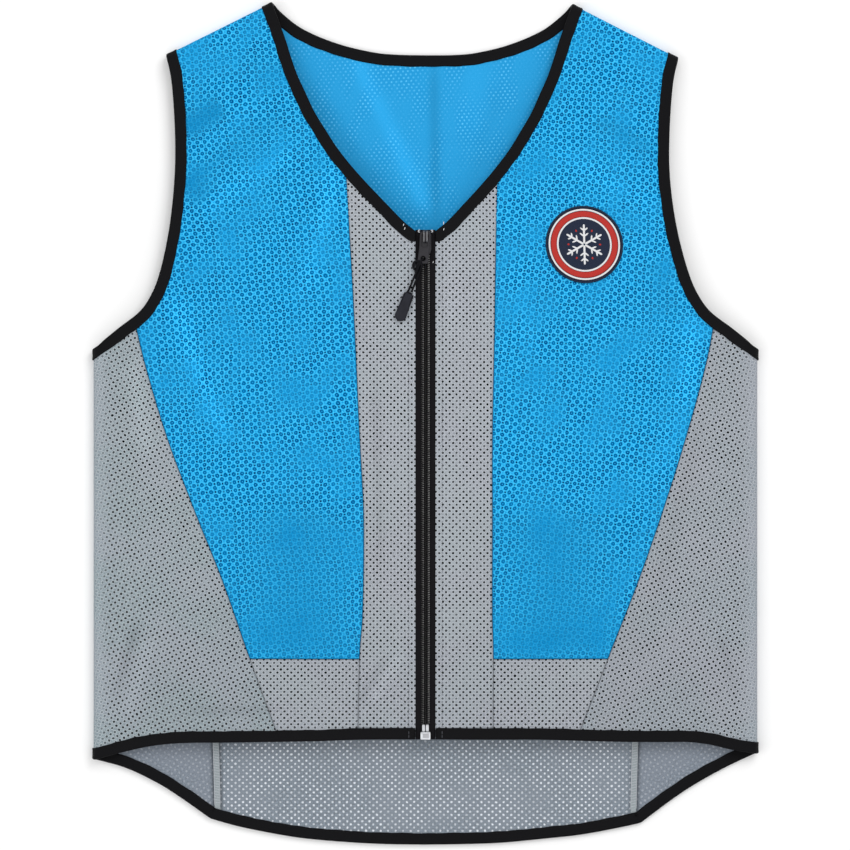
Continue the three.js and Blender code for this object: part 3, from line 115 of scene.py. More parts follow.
# x, down, turn in degrees, length, width, height
SOFT_FOLDS = [(-0.7, 0.9, 4, 0.24, 0.06, 0.2), (-0.62, 0.3, -32, 0.2, 0.06, 0.2),
              (-0.45, 0.62, 14, 0.22, 0.07, -0.16), (0.5, 0.55, -18, 0.24, 0.07, -0.16),
              (0.72, 0.78, -8, 0.24, 0.06, 0.18)]
# Pull cord: aside, up, level, rise
CORD_ROUTE = [(-0.83, 0.027, 1, 0), (-0.78, 0.125, 1, 0.1), (-0.72, 0.36, 1, 0.4), (-0.67, 0.62, 1, 0.75),
              (-0.61, 0.819, 1, 1), (-0.5, 0.909, 1.05, 1), (-0.28, 0.977, 0.8, 1), (0, 1.008, 0.5, 1),
              (0.22, 0.977, 0.2, 1), (0.44, 0.909, 0, 1), (0.56, 0.819, 0, 1), (0.67, 0.62, 0, 0.75),
              (0.72, 0.36, 0, 0.4), (0.78, 0.125, 0, 0), (0.83, 0.027, 0, 0)]


def lerp(a, b, t):
    return a + (b - a) * t


def smooth(t):
    t = np.clip(t, 0, 1)
    return t * t * (3 - 2 * t)


def fixed(value):
    """An edge that stays at one value."""
    return lambda place: np.full(np.shape(place), value)


def run_along(points):
    """Distance along a path at each of its points."""
    return np.concatenate([[0], np.cumsum(np.linalg.norm(np.diff(points, axis=0), axis=1))])


def curve(rows, column=1):
    """A smooth curve through a table's rows."""
    k = np.array([r[0] for r in rows], float)
    v = np.array([r[column] for r in rows], float)
    n = len(k)
    lo, hi = np.maximum(np.arange(n) - 1, 0), np.minimum(np.arange(n) + 1, n - 1)
    m = (v[hi] - v[lo]) / (k[hi] - k[lo])

    def at(place):
        place = np.asarray(place, float)
        i = np.clip(np.searchsorted(k, place, side="right") - 1, 0, n - 2)
        h = k[i + 1] - k[i]
        t = (place - k[i]) / h
        c = np.clip(t, 0, 1)
        value = (1 + 2 * c) * (1 - c) ** 2 * v[i] + c * (1 - c) ** 2 * m[i] * h
        value = value + c * c * (3 - 2 * c) * v[i + 1] + c * c * (c - 1) * m[i + 1] * h
        return value + np.where(t < 0, m[i] * t * h, 0) + np.where(t > 1, m[i + 1] * (t - 1) * h, 0)

    return at


def lookup(xs, ys):
    """Straight-line lookup that carries on past its ends."""
    xs, ys = np.asarray(xs, float), np.asarray(ys, float)

    def at(place):
        i = np.clip(np.searchsorted(xs, place), 1, len(xs) - 1)
        return ys[i - 1] + (ys[i] - ys[i - 1]) * (place - xs[i - 1]) / (xs[i] - xs[i - 1])

    return at


SAMPLES = 401


def shoulder_y(x):
    return TOP - SHOULDER_FOLD_DROP - SHOULDER_SLOPE * (np.abs(x) - HALF_NECK)


def shoulder_top_y(x):
    return shoulder_y(x) - (FOLD_RADIUS - FOLD_ARC) / SHOULDER_COS


down = np.linspace(-0.08, 1, SAMPLES)
neck_points = np.stack([lerp(ZIP_HALF, HALF_NECK, curve(NECKLINE)(down)), TOP - down * FRONT_NECK_DROP], 1)


def seam_point(points):
    over = points[:, 1] - shoulder_top_y(points[:, 0])
    i = int(np.argmax(over <= 0))
    return lerp(points[i - 1], points[i], over[i - 1] / (over[i - 1] - over[i]))


NECK_CORNER = seam_point(neck_points)
share = np.linspace(0, 1, SAMPLES)
back_neck_points = np.stack([
    share * NECK_CORNER[0],
    lerp(TOP - BACK_NECK_DROP, NECK_CORNER[1], curve(BACK_NECKLINE)(share)),
], 1)


def catmull(points, count):
    """Points evenly by parameter along a centripetal curve through the given ones."""
    points = np.asarray(points, float)
    ends = [2 * points[0] - points[1], *points, 2 * points[-1] - points[-2]]
    out = []
    for t in np.linspace(0, len(points) - 1, count):
        i = min(int(t), len(points) - 2)
        w = t - i
        p0, p1, p2, p3 = ends[i:i + 4]
        d0, d1, d2 = (max(np.linalg.norm(b - a), 1e-6) ** 0.5 for a, b in ((p0, p1), (p1, p2), (p2, p3)))
        m1 = ((p1 - p0) / d0 - (p2 - p0) / (d0 + d1) + (p2 - p1) / d1) * d1
        m2 = ((p2 - p1) / d1 - (p3 - p1) / (d1 + d2) + (p3 - p2) / d2) * d1
        out.append(p1 + m1 * w + (3 * (p2 - p1) - 2 * m1 - m2) * w ** 2 + (2 * (p1 - p2) + m1 + m2) * w ** 3)
    return np.array(out)


def armhole_points(inset):
    rows = ARMHOLE + [(ARMHOLE[-2][0], 2 - ARMHOLE[-2][1])]
    route = [(lerp(HALF_SHOULDER, FOLD_X, o), TOP - lerp(SHOULDER_DROP, UNDERARM_DROP, d)) for d, o in rows]
    whole = catmull(route, (SAMPLES - 1) * len(ARMHOLE) // (len(ARMHOLE) - 1) + 1)
    points = whole[:SAMPLES].copy()
    points[-1] = (FOLD_X, TOP - UNDERARM_DROP)
    d = np.clip((TOP - SHOULDER_DROP - points[:, 1]) / (UNDERARM_DROP - SHOULDER_DROP), 0, 1)
    points[:, 0] -= inset * np.sin(math.pi * d)
    return points


ARM = {"front": armhole_points(0), "back": armhole_points(BACK_ARMHOLE_INSET)}
neck_x = lookup(neck_points[::-1, 1], neck_points[::-1, 0])
neck_y = lookup(neck_points[::-1, 0], neck_points[::-1, 1])
back_neck_y = lookup(back_neck_points[:, 0], back_neck_points[:, 1])
arm_x = {k: lookup(p[::-1, 1], p[::-1, 0]) for k, p in ARM.items()}
arm_y = {k: lookup(p[np.argmin(p[:, 0]):, 0], p[np.argmin(p[:, 0]):, 1]) for k, p in ARM.items()}


def side_curves(sign):
    c = 1 if sign < 0 else 2
    dip, flank, middle = curve(FRONT_HEM, c), curve(TAIL_FLANK, c), curve(TAIL_MIDDLE, c)
    center, side, back_seam = curve(CENTER_SEAM, c), curve(SIDE_SEAM, c), curve(BACK_SEAM)

    def back_hem(x):
        x = np.minimum(x, HALF_CHEST)
        tail = np.where(x < TAIL_CORNER_HALF, middle(x / TAIL_CORNER_HALF),
                        flank((x - TAIL_CORNER_HALF) / (HALF_CHEST - TAIL_CORNER_HALF)))
        return TOP - SIDE_LENGTH - (BODY_LENGTH - SIDE_LENGTH) * tail

    return {
        "front_hem": lambda x: TOP - FRONT_LENGTH - (SIDE_LENGTH - FRONT_LENGTH)
        * dip(np.minimum(x, HALF_CHEST) / HALF_CHEST),
        "back_hem": back_hem,
        "center": lambda y: CENTER_SEAM_HALF * center((TOP - y) / FRONT_LENGTH),
        "side": lambda y: HALF_CHEST * side((TOP - y) / FRONT_LENGTH),
        "back_seam": lambda y: HALF_CHEST * back_seam((TOP - y) / BODY_LENGTH),
    }


CURVES = {-1: side_curves(-1), 1: side_curves(1)}


GRID = 4.0


def back_height_grid():
    """Height of the back over the ground, on a grid: it lifts near its bound edges."""
    xs, ys = np.arange(-300, 301, GRID), np.arange(-384, 385, GRID)
    edges = []
    for sign in (-1, 1):
        out = np.linspace(0, FOLD_X, SAMPLES)
        hem = np.stack([out, CURVES[sign]["back_hem"](out)], 1)
        for points in (back_neck_points, ARM["back"], hem):
            edges.append(points[::3] * [sign, 1])
    edges = np.concatenate(edges)
    gx, gy = np.meshgrid(xs, ys, indexing="ij")
    near = np.full(gx.shape, EDGE_LIFT_REACH)
    for px, py in edges:
        near = np.minimum(near, np.hypot(gx - px, gy - py))
    away = np.maximum(0, near - BINDING_WIDTH) / (EDGE_LIFT_REACH - BINDING_WIDTH)
    return xs, ys, BACK_LEVEL + EDGE_LIFT * (1 - away)


GX, GY, GZ = back_height_grid()


def back_height(x, y):
    i = np.clip((x - GX[0]) / GRID, 0, len(GX) - 1.001)
    j = np.clip((y - GY[0]) / GRID, 0, len(GY) - 1.001)
    a, b = i.astype(int), j.astype(int)
    s, t = i - a, j - b
    return lerp(lerp(GZ[a, b], GZ[a + 1, b], s), lerp(GZ[a, b + 1], GZ[a + 1, b + 1], s), t)


def front_height(x, y):
    below = (shoulder_y(x) - y) * SHOULDER_COS
    across = (1 - np.clip(np.abs(x) / FLAT_HALF, 0, 1) ** 2) ** LOFT_ROUNDNESS
    from_hem = (y - (TOP - FRONT_LENGTH)) / FRONT_LENGTH
    along = lerp(HEM_LOFT_SHARE, 1, smooth(from_hem / HEM_LOFT_REACH))
    along = along * smooth((below - FOLD_RADIUS) / UNDERARM_DROP)
    folds = 0
    for fx, fd, turn, length, width, height in SOFT_FOLDS:
        turn = math.radians(turn)
        dx, dy = x - fx * HALF_CHEST, y - (TOP - fd * FRONT_LENGTH)
        over = (dx * math.cos(turn) + dy * math.sin(turn)) / (width * CHEST_WIDTH)
        run = (dy * math.cos(turn) - dx * math.sin(turn)) / (length * CHEST_WIDTH)
        folds = folds + height * np.exp(-over * over - run * run)
    fade = smooth((FLAT_HALF - np.abs(x)) / (FLAT_HALF * SOFT_FOLD_FADE))
    fade = fade * smooth((below - FOLD_RADIUS) / SOFT_FOLD_SHOULDER_FADE)
    return BACK_LEVEL + EDGE_LIFT + 2 * FOLD_RADIUS + FRONT_LOFT * (across * along + folds * fade)


def cloth(layer, flat_x, flat_y):
    """The middle of the cloth at points of the flat pattern, past the fold lines too."""
    sign = np.where(flat_x < 0, -1.0, 1.0)
    x, y = np.abs(flat_x), np.asarray(flat_y, float)
    below = (shoulder_y(x) - y) * SHOULDER_COS
    side = x > FLAT_HALF
    roll = ~side & (below < FOLD_RADIUS)
    turn = np.where(roll, (FOLD_RADIUS - below) / FOLD_RADIUS, 0)
    turn = np.where(side, (x - FLAT_HALF) / FOLD_RADIUS, turn)
    pulled = np.where(roll, below - FOLD_RADIUS * (1 - np.sin(turn)), 0)
    x = np.where(side, FLAT_HALF + FOLD_RADIUS * np.sin(turn), x + SHOULDER_OUT[0] * pulled)
    y = y + SHOULDER_OUT[1] * pulled
    high, low = front_height(sign * x, y), back_height(sign * x, y)
    z = (high + low) / 2 + (1 if layer == "front" else -1) * (high - low) / 2 * np.cos(turn)
    part = smooth((y - (TOP - UNDERARM_DROP)) / (UNDERARM_DROP - SHOULDER_DROP) * LEAN_ONSET)
    aside = smooth(x / HALF_NECK)
    return np.stack([sign * x - SHOULDER_LEAN * part * aside, y - SHOULDER_TILT * sign * x * part, z], -1)


def front(x, y):
    return cloth("front", x, y)


def back(x, y):
    return cloth("back", x, y)


def around(sign):
    def surface(u, v):
        on_front = (u <= FOLD_X)[..., None]
        return np.where(on_front, front(sign * u, v), back(sign * (2 * FOLD_X - u), v))
    return surface


PROBE = 0.4


def normals(surface, u, v):
    du = surface(u + PROBE, v) - surface(u - PROBE, v)
    dv = surface(u, v + PROBE) - surface(u, v - PROBE)
    n = np.cross(du, dv)
    return n / np.linalg.norm(n, axis=-1, keepdims=True)


def over_cloth(surface, x, y, height):
    """Points at a height over the middle of the cloth."""
    return surface(x, y) + normals(surface, x, y) * np.reshape(height, (-1, 1))


def placed(name, data):
    """A new object in the scene."""
    thing = bpy.data.objects.new(name, data)
    bpy.context.scene.collection.objects.link(thing)
    return thing


# Camera, straight over the vest, with the photograph's frame
VIEW_WIDTH = 732.7
CAMERA_HEIGHT, CAMERA_LEVEL = 3000.0, 12.0
camera = placed("camera", bpy.data.cameras.new("camera"))
camera.location = (-0.4 * MM, -1.2 * MM, (CAMERA_HEIGHT + CAMERA_LEVEL) * MM)
camera.data.sensor_width = 36
camera.data.lens = 36 * CAMERA_HEIGHT / VIEW_WIDTH
camera.data.clip_end = 50
bpy.context.scene.camera = camera


# Materials
def srgb(r, g, b):
    def part(c):
        c = c / 255
        return c / 12.92 if c <= 0.04045 else ((c + 0.055) / 1.055) ** 2.4
    return (part(r), part(g), part(b), 1)


class Shade:
    """A material with small helpers for its nodes."""

    def __init__(self, name, roughness=0.75, metallic=0.0, specular=0.4):
        self.material = bpy.data.materials.new(name)
        self.material.use_nodes = True
        self.tree = self.material.node_tree
        self.shader = self.tree.nodes["Principled BSDF"]
        self.shader.inputs["Roughness"].default_value = roughness
        self.shader.inputs["Metallic"].default_value = metallic
        self.shader.inputs["Specular IOR Level"].default_value = specular
        self.mm = None

    def node(self, kind, **settings):
        node = self.tree.nodes.new(kind)
        for key, value in settings.items():
            setattr(node, key, value)
        return node

    def wire(self, value, socket):
        if isinstance(value, bpy.types.NodeSocket):
            self.tree.links.new(value, socket)
        else:
            socket.default_value = value

    def op(self, operation, *values):
        node = self.node("ShaderNodeMath", operation=operation)
        for value, socket in zip(values, node.inputs):
            self.wire(value, socket)
        return node.outputs[0]

    def add(self, a, b):
        return self.op("ADD", a, b)

    def sub(self, a, b):
        return self.op("SUBTRACT", a, b)

    def mul(self, a, b):
        return self.op("MULTIPLY", a, b)

    def step(self, value, low, high, out_low=0.0, out_high=1.0):
        """A smooth step from out_low at low to out_high at high."""
        node = self.node("ShaderNodeMapRange", interpolation_type="SMOOTHSTEP")
        for v, socket in zip((value, low, high, out_low, out_high), node.inputs):
            self.wire(v, socket)
        return node.outputs[0]

    def mix(self, amount, a, b):
        node = self.node("ShaderNodeMix", data_type="RGBA")
        self.wire(amount, node.inputs[0])
        self.wire(a, node.inputs[6])
        self.wire(b, node.inputs[7])
        return node.outputs[2]

    def point(self, x, y, z):
        node = self.node("ShaderNodeCombineXYZ")
        for value, socket in zip((x, y, z), node.inputs):
            self.wire(value, socket)
        return node.outputs[0]

    def uv(self):
        """Flat pattern coordinates in millimetres, x and y."""
        if self.mm is None:
            parts = self.node("ShaderNodeSeparateXYZ")
            self.tree.links.new(self.node("ShaderNodeUVMap", uv_map="UVMap").outputs[0], parts.inputs[0])
            self.mm = self.mul(parts.outputs[0], 1000.0), self.mul(parts.outputs[1], 1000.0)
        return self.mm

    def turned(self, degrees):
        x, y = self.uv()
        c, s = math.cos(math.radians(degrees)), math.sin(math.radians(degrees))
        return (self.add(self.mul(x, c), self.mul(y, s)), self.sub(self.mul(y, c), self.mul(x, s)))

    def noise(self, scale, detail, rough=0.5, offset=0.0, stretch=(1.0, 1.0), turn=0.0):
        """Noise over the flat pattern, with features of about scale millimetres."""
        x, y = self.turned(turn) if turn else self.uv()
        x, y = self.mul(x, 1 / (scale * stretch[0])), self.mul(y, 1 / (scale * stretch[1]))
        node = self.node("ShaderNodeTexNoise")
        self.wire(self.point(x, y, offset), node.inputs["Vector"])
        node.inputs["Scale"].default_value = 1.0
        node.inputs["Detail"].default_value = detail
        node.inputs["Roughness"].default_value = rough
        return node.outputs[0]

    def grain(self, scale, detail=2.0):
        """Noise over the piece itself."""
        node = self.node("ShaderNodeTexNoise")
        self.wire(self.node("ShaderNodeTexCoord").outputs["Object"], node.inputs["Vector"])
        node.inputs["Scale"].default_value = scale
        node.inputs["Detail"].default_value = detail
        return node.outputs[0]

    def wander(self, value, amount, scale, offset):
        """The value moved by up to about half the amount, in patches of the scale."""
        return self.add(value, self.mul(self.sub(self.noise(scale, 1.0, offset=offset), 0.5), amount))

    def cell(self, x, y, cx, cy, ox=0.0, oy=0.0):
        """Distance in millimetres to the nearest point of a rectangular lattice, and the cell's number."""
        px, py = self.sub(self.mul(x, 1 / cx), ox), self.sub(self.mul(y, 1 / cy), oy)
        rx, ry = self.op("ROUND", px), self.op("ROUND", py)
        dx, dy = self.mul(self.sub(px, rx), cx), self.mul(self.sub(py, ry), cy)
        near = self.op("SQRT", self.add(self.mul(dx, dx), self.mul(dy, dy)))
        number = self.node("ShaderNodeTexWhiteNoise", noise_dimensions="3D")
        self.wire(self.point(rx, ry, ox * 7 + oy * 13), number.inputs["Vector"])
        return near, number.outputs["Value"]

    def bump(self, height, distance, strength):
        node = self.node("ShaderNodeBump")
        node.inputs["Strength"].default_value = strength
        node.inputs["Distance"].default_value = distance * MM
        self.wire(height, node.inputs["Height"])
        self.wire(node.outputs[0], self.shader.inputs["Normal"])

    def color(self, value):
        self.wire(value, self.shader.inputs["Base Color"])
        return self

    # Painted light and shade, read from the mesh: a factor per point that lightens or darkens the colour
    def tone(self):
        node = self.node("ShaderNodeAttribute", attribute_type="GEOMETRY", attribute_name="tone")
        return node.outputs["Fac"]

    def with_painted_shading(self, value):
        """The colour made lighter or darker by the painted light and shade stored on the mesh."""
        node = self.node("ShaderNodeVectorMath", operation="SCALE")
        self.wire(value, node.inputs[0])
        self.wire(self.tone(), node.inputs["Scale"])
        return self.color(node.outputs[0])


def lit(color, factor):
    """The colour made lighter or darker by a factor."""
    return tuple(min(1, factor * c) for c in color[:3]) + (1,)


def ring_cloth(name, turn):
    """Blue net of small rings with a pinhole between them."""
    s = Shade(name, roughness=0.7, specular=0.01)
    x, y = s.turned(turn)
    x, y = s.wander(x, 1.1, 3.0, 2.0), s.wander(y, 1.1, 3.0, 12.0)
    x, y = s.wander(x, 9.0, 60, 22.0), s.wander(y, 6.0, 60, 32.0)
    cx, cy = 6.95, 6.6
    near_a, number_a = s.cell(x, y, cx, cy)
    near_b, number_b = s.cell(x, y, cx, cy, 0.5, 0.5)
    near = s.op("MINIMUM", near_a, near_b)
    number = s.op("MAXIMUM", number_a, number_b)
    dot, spot = s.cell(x, y, cx, cy, 0.5, 0.0)
    faint, _ = s.cell(x, y, cx, cy, 0.0, 0.5)
    band = s.mul(s.step(near, 0.15, 0.65), s.step(near, 1.5, 2.05, 1.0, 0.0))
    heart = s.step(near, 0.1, 0.65, 1.0, 0.0)
    pin = s.step(dot, 0.45, 1.2, 1.0, 0.0)
    speck = s.step(faint, 0.4, 1.1, 1.0, 0.0)
    # Painted light and shade from the mesh: the net goes darker and its pattern fainter where painted shade
    # falls; the blotches dull it at random
    tone = s.tone()
    blotch = s.noise(34, 2.0, 0.55, 5.0, (1.0, 1.5), -30)
    clear = s.mul(s.step(blotch, 0.28, 0.55, 0.55, 1.0), s.step(tone, 0.84, 0.97, 0.35, 1.0))
    fine = s.noise(1.1, 2.0, 0.65, 3.0)
    light = s.mix(s.step(fine, 0.3, 0.7), srgb(8, 157, 224), srgb(74, 207, 255))
    light = s.mix(clear, srgb(0, 132, 198), light)
    dark = s.mix(number, srgb(0, 72, 130), srgb(0, 106, 166))
    color = s.mix(s.mul(band, clear), light, dark)
    color = s.mix(s.mul(heart, s.mul(number, 0.8)), color, srgb(12, 147, 216))
    color = s.mix(s.mul(pin, s.mul(clear, s.step(spot, 0.0, 0.5, 0.6, 1.0))), color, srgb(0, 44, 92))
    color = s.mix(s.mul(speck, 0.45), color, srgb(8, 118, 184))
    s.with_painted_shading(color)
    rise = s.sub(s.sub(s.mul(fine, 0.35), s.mul(band, 0.5)), s.mul(pin, 0.8))
    s.bump(rise, 0.3, 0.5)
    return s.material


def soft_cloth(name):
    """The blue cloth's inner face: smoother, with faint pale stitches in slanting rows."""
    s = Shade(name, roughness=0.75, specular=0.03)
    x, y = s.turned(4)
    x = s.wander(x, 1.4, 4.0, 2.0)
    near_a, number = s.cell(x, y, 4.2, 5.7)
    near_b, _ = s.cell(x, y, 4.2, 5.7, 0.5, 0.5)
    near = s.op("MINIMUM", near_a, near_b)
    patch = s.step(s.noise(26, 2.0, 0.5, 9.0, (0.7, 1.8), -8), 0.38, 0.6, 0.1, 1.0)
    fine = s.noise(1.2, 2.0, 0.6, 3.0)
    base = s.mix(fine, srgb(24, 146, 208), srgb(56, 166, 224))
    spot = s.mul(s.step(near, 0.35, 1.1, 1.0, 0.0), s.mul(patch, s.step(number, 0.0, 1.0, 0.35, 0.75)))
    color = s.mix(spot, base, srgb(104, 204, 252))
    ring = s.mul(s.step(near, 1.0, 1.5), s.step(near, 1.6, 2.2, 1.0, 0.0))
    color = s.mix(s.mul(ring, s.mul(patch, 0.35)), color, srgb(8, 130, 194))
    # Painted light and shade from the mesh
    s.with_painted_shading(color)
    s.bump(s.add(s.mul(fine, 0.4), spot), 0.2, 0.5)
    return s.material


def hole_cloth(name, turn, base, tint, lights=0.0):
    """Grey knit with rows of small holes. With lights, the holes show the pale surface behind."""
    s = Shade(name, roughness=0.8, specular=0.1)
    x, y = s.turned(turn)
    cx, cy = (6.44, 5.5) if lights else (5.92, 5.56)
    x, y = s.wander(x, 1.3, 3.5, 1.0), s.wander(y, 0.9, 3.5, 11.0)
    near_a, number_a = s.cell(x, y, cx, cy)
    near_b, number_b = s.cell(x, y, cx, cy, 0.5, 0.5)
    near = s.op("MINIMUM", near_a, near_b)
    number = s.op("MINIMUM", number_a, number_b)
    near = s.wander(near, 0.4, 0.8, 4.0)
    hole = s.step(near, 0.82, 1.14, 1.0, 0.0)
    rim = s.mul(s.step(near, 1.0, 1.25), s.step(near, 1.35, 1.9, 1.0, 0.0))
    fine = s.noise(1.5, 2.0, 0.65, 2.0)
    blotch = s.noise(60, 2.0, 0.5, 7.0)
    tone = s.mix(s.step(fine, 0.3, 0.68), lit(base, 0.68), lit(base, 1.16))
    tone = s.mix(s.step(blotch, 0.35, 0.65, 0.0, 0.5), tone, tint)
    strength = s.step(number, 0.0, 0.35, 0.7, 1.0)
    x_flat, _ = s.uv()
    aside = s.op("ABSOLUTE", x_flat)
    if lights:
        wear_and_glint = s.step(s.noise(24, 2.0, 0.5, 17.0), 0.3, 0.55, 0.5, 1.0)
        wear_and_glint = s.mul(wear_and_glint, s.step(aside, 150.0, 205.0, 1.0, 0.45))
        color = s.mix(s.mul(rim, s.mul(wear_and_glint, 0.4 * lights)), tone, srgb(96, 104, 116))
        color = s.mix(s.mul(hole, s.mul(strength, s.mul(wear_and_glint, lights))), color, srgb(226, 231, 238))
    else:
        # The holes close up where the cloth turns over the side fold
        before, after = s.step(aside, 270.0, 284.0, 1.0, 0.15), s.step(aside, 292.0, 306.0, 0.15, 1.0)
        strength = s.mul(strength, s.op("MAXIMUM", before, after))
        color = s.mix(s.mul(rim, 0.5), tone, srgb(204, 208, 213))
        color = s.mix(s.mul(hole, strength), color, srgb(1, 1, 3))
    # Painted light and shade from the mesh
    s.with_painted_shading(color)
    s.bump(s.sub(s.mul(fine, 0.4), s.mul(hole, 1.0)), 0.3, 0.5)
    return s.material


def plain_cloth(name, base, variation, scale, roughness=0.8, depth=0.2):
    """Fine even cloth, such as tape, binding or brushed lining."""
    s = Shade(name, roughness=roughness, specular=0.12)
    fine = s.noise(scale, 3.0, 0.6, 1.0)
    wide = s.noise(30, 2.0, 0.5, 6.0)
    high = lit(base, 1 + variation)
    color = s.mix(s.step(fine, 0.25, 0.75), lit(base, 1 - variation), high)
    s.color(s.mix(s.step(wide, 0.3, 0.7, 0.0, 0.25), color, high))
    s.bump(fine, depth, 0.6)
    return s.material


def woven_tape(name, base, across, along):
    """Twilled tape: fine diagonal ribs, their crests painted lighter as painted highlights."""
    s = Shade(name, roughness=0.6, specular=0.06)
    x, y = s.uv()
    wave = s.op("SINE", s.add(s.mul(x, 2 * math.pi / across), s.mul(y, 2 * math.pi / along)))
    fine = s.noise(0.7, 2.0, 0.6, 1.0)
    height = s.add(s.mul(wave, 0.4), fine)
    s.color(s.mix(s.step(height, 0.35, 1.2, 0.0, 0.6), base, lit(base, 2.6)))
    s.bump(height, 0.18, 0.7)
    return s.material


def solid_look(name, base, roughness, metallic, grain, depth, variation=0.12, specular=0.3):
    """Moulded, enamelled or plated pieces, with fine grain and a little wear in the colour."""
    s = Shade(name, roughness=roughness, metallic=metallic, specular=specular)
    s.color(s.mix(s.step(s.grain(150.0), 0.3, 0.7), lit(base, 1 - variation), lit(base, 1 + variation)))
    s.bump(s.grain(1000 / grain, 3.0), depth, 0.6)
    return s.material


def coil_look():
    """Black nylon with the teeth's crests painted paler as painted highlights, most on the same side of each
    row.
    """
    s = Shade("black_nylon", roughness=0.4, specular=0.14)
    x, _ = s.uv()
    near_side = s.mul(s.step(x, -2.7, -2.2), s.step(x, -1.7, -1.2, 1.0, 0.0))
    far_side = s.mul(s.step(x, 2.2, 2.7), s.step(x, 3.3, 3.7, 1.0, 0.0))
    body = s.mul(s.step(s.op("ABSOLUTE", x), 0.9, 1.4), 0.16)
    crest_glint = s.op("MAXIMUM", s.mul(near_side, 0.75), s.op("MAXIMUM", far_side, body))
    middle = s.step(s.op("ABSOLUTE", x), 0.3, 0.6, 1.0, 0.0)
    fine = s.noise(1.6, 2.0, 0.6, 1.0)
    color = s.mix(s.mul(crest_glint, s.step(fine, 0.3, 0.65, 0.2, 1.0)), srgb(12, 12, 13), srgb(158, 158, 157))
    s.color(s.mix(s.mul(middle, 0.5), color, srgb(72, 71, 71)))
    s.bump(fine, 0.02, 0.5)
    return s.material


GREY, GREY_TINT = srgb(160, 165, 174), srgb(156, 167, 172)
BLACK = srgb(15, 15, 17)
LOOK = {
    "blue_right": ring_cloth("blue_net_right", 4),
    "blue_left": ring_cloth("blue_net_left", -5),
    "blue_inside": soft_cloth("blue_inner_face"),
    "blue_back": ring_cloth("blue_net_back", 0),
    "lining": plain_cloth("pale_lining", srgb(176, 182, 190), 0.08, 0.9),
    "grey_center": hole_cloth("grey_knit_center", 0, GREY, GREY_TINT),
    "grey_side_right": hole_cloth("grey_knit_side_right", 14, srgb(144, 158, 164), srgb(154, 159, 169)),
    "grey_side_left": hole_cloth("grey_knit_side_left", -14, srgb(147, 156, 164), srgb(154, 156, 166)),
    "grey_back": hole_cloth("grey_knit_back", 0, GREY, GREY_TINT),
    "grey_inside": hole_cloth("grey_knit_inside", 0, srgb(130, 140, 150), srgb(136, 144, 154), 0.9),
    "felt": hole_cloth("grey_felt_inside", 9, srgb(128, 137, 148), srgb(134, 141, 152), 0.5),
    "allowance": plain_cloth("grey_allowance", srgb(150, 158, 162), 0.16, 0.9, 0.9, depth=0.15),
    "binding": woven_tape("black_binding", BLACK, 0.9, 0.7),
    "tape": woven_tape("black_zip_tape", srgb(17, 16, 19), 1.0, 0.8),
    "coil": coil_look(),
    "black_metal": solid_look("black_enamel", srgb(34, 33, 38), 0.38, 0.0, 0.6, 0.01, specular=0.26),
    # Pale enamel used for painted highlights on the slider's bridge and for painted shade on the zip box's
    # sunk plate
    "glint_and_shade_metal": solid_look("glint_and_shade_enamel", srgb(176, 176, 180), 0.35, 0.3, 0.6, 0.01),
    "rubber": solid_look("moulded_rubber", srgb(36, 37, 44), 0.6, 0.0, 0.35, 0.05, specular=0.12),
    "silver": solid_look("plated_metal", srgb(208, 210, 214), 0.3, 0.5, 0.7, 0.03, 0.2),
    "cord": woven_tape("braided_cord", srgb(22, 22, 25), 0.8, 0.5),
    "black_thread": plain_cloth("black_thread", srgb(20, 20, 22), 0.3, 0.3, 0.6, depth=0.05),
    "grey_thread": plain_cloth("grey_thread", srgb(92, 94, 100), 0.2, 0.3, 0.7, depth=0.05),
    "pale_thread": plain_cloth("pale_thread", srgb(188, 192, 198), 0.15, 0.3, 0.7, depth=0.05),
    "white_thread": plain_cloth("white_thread", srgb(232, 232, 234), 0.08, 0.3, 0.7, depth=0.05),
}


# Meshes
def make_mesh(name, points, faces, uvs, looks, slots=None, tone=None):
    """A piece from points and uvs in millimetres and lists of corners. The last argument holds painted light
    and shade: a factor per point that makes the colour lighter or darker.
    """
    mesh = bpy.data.meshes.new(name)
    mesh.from_pydata((np.asarray(points) * MM).tolist(), [], [list(map(int, f)) for f in faces])
    for look in looks:
        mesh.materials.append(LOOK[look])
    layer = mesh.uv_layers.new(name="UVMap")
    corners = np.empty(len(mesh.loops), int)
    mesh.loops.foreach_get("vertex_index", corners)
    layer.data.foreach_set("uv", (np.asarray(uvs, float)[corners] * MM).astype(np.float32).ravel())
    if tone is not None:
        mesh.attributes.new("tone", "FLOAT", "POINT").data.foreach_set("value", np.asarray(tone, np.float32))
    if slots is not None:
        mesh.polygons.foreach_set("material_index", np.asarray(slots, np.int32))
    mesh.polygons.foreach_set("use_smooth", np.full(len(mesh.polygons), True))
    mesh.update()
    return placed(name, mesh)


def settle(piece, slot, *nodes):
    """The piece rides on the body and stands for these solids. The slot is not used."""
    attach(piece, "root")
    if nodes:
        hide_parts(*nodes)
    return piece


def grid_quads(columns, rows, start, flip):
    i, j = np.meshgrid(np.arange(columns - 1), np.arange(rows - 1), indexing="ij")
    a = (start + i * rows + j).ravel()
    quads = np.stack([a, a + rows, a + rows + 1, a + 1], 1)
    return quads[:, ::-1] if flip else quads


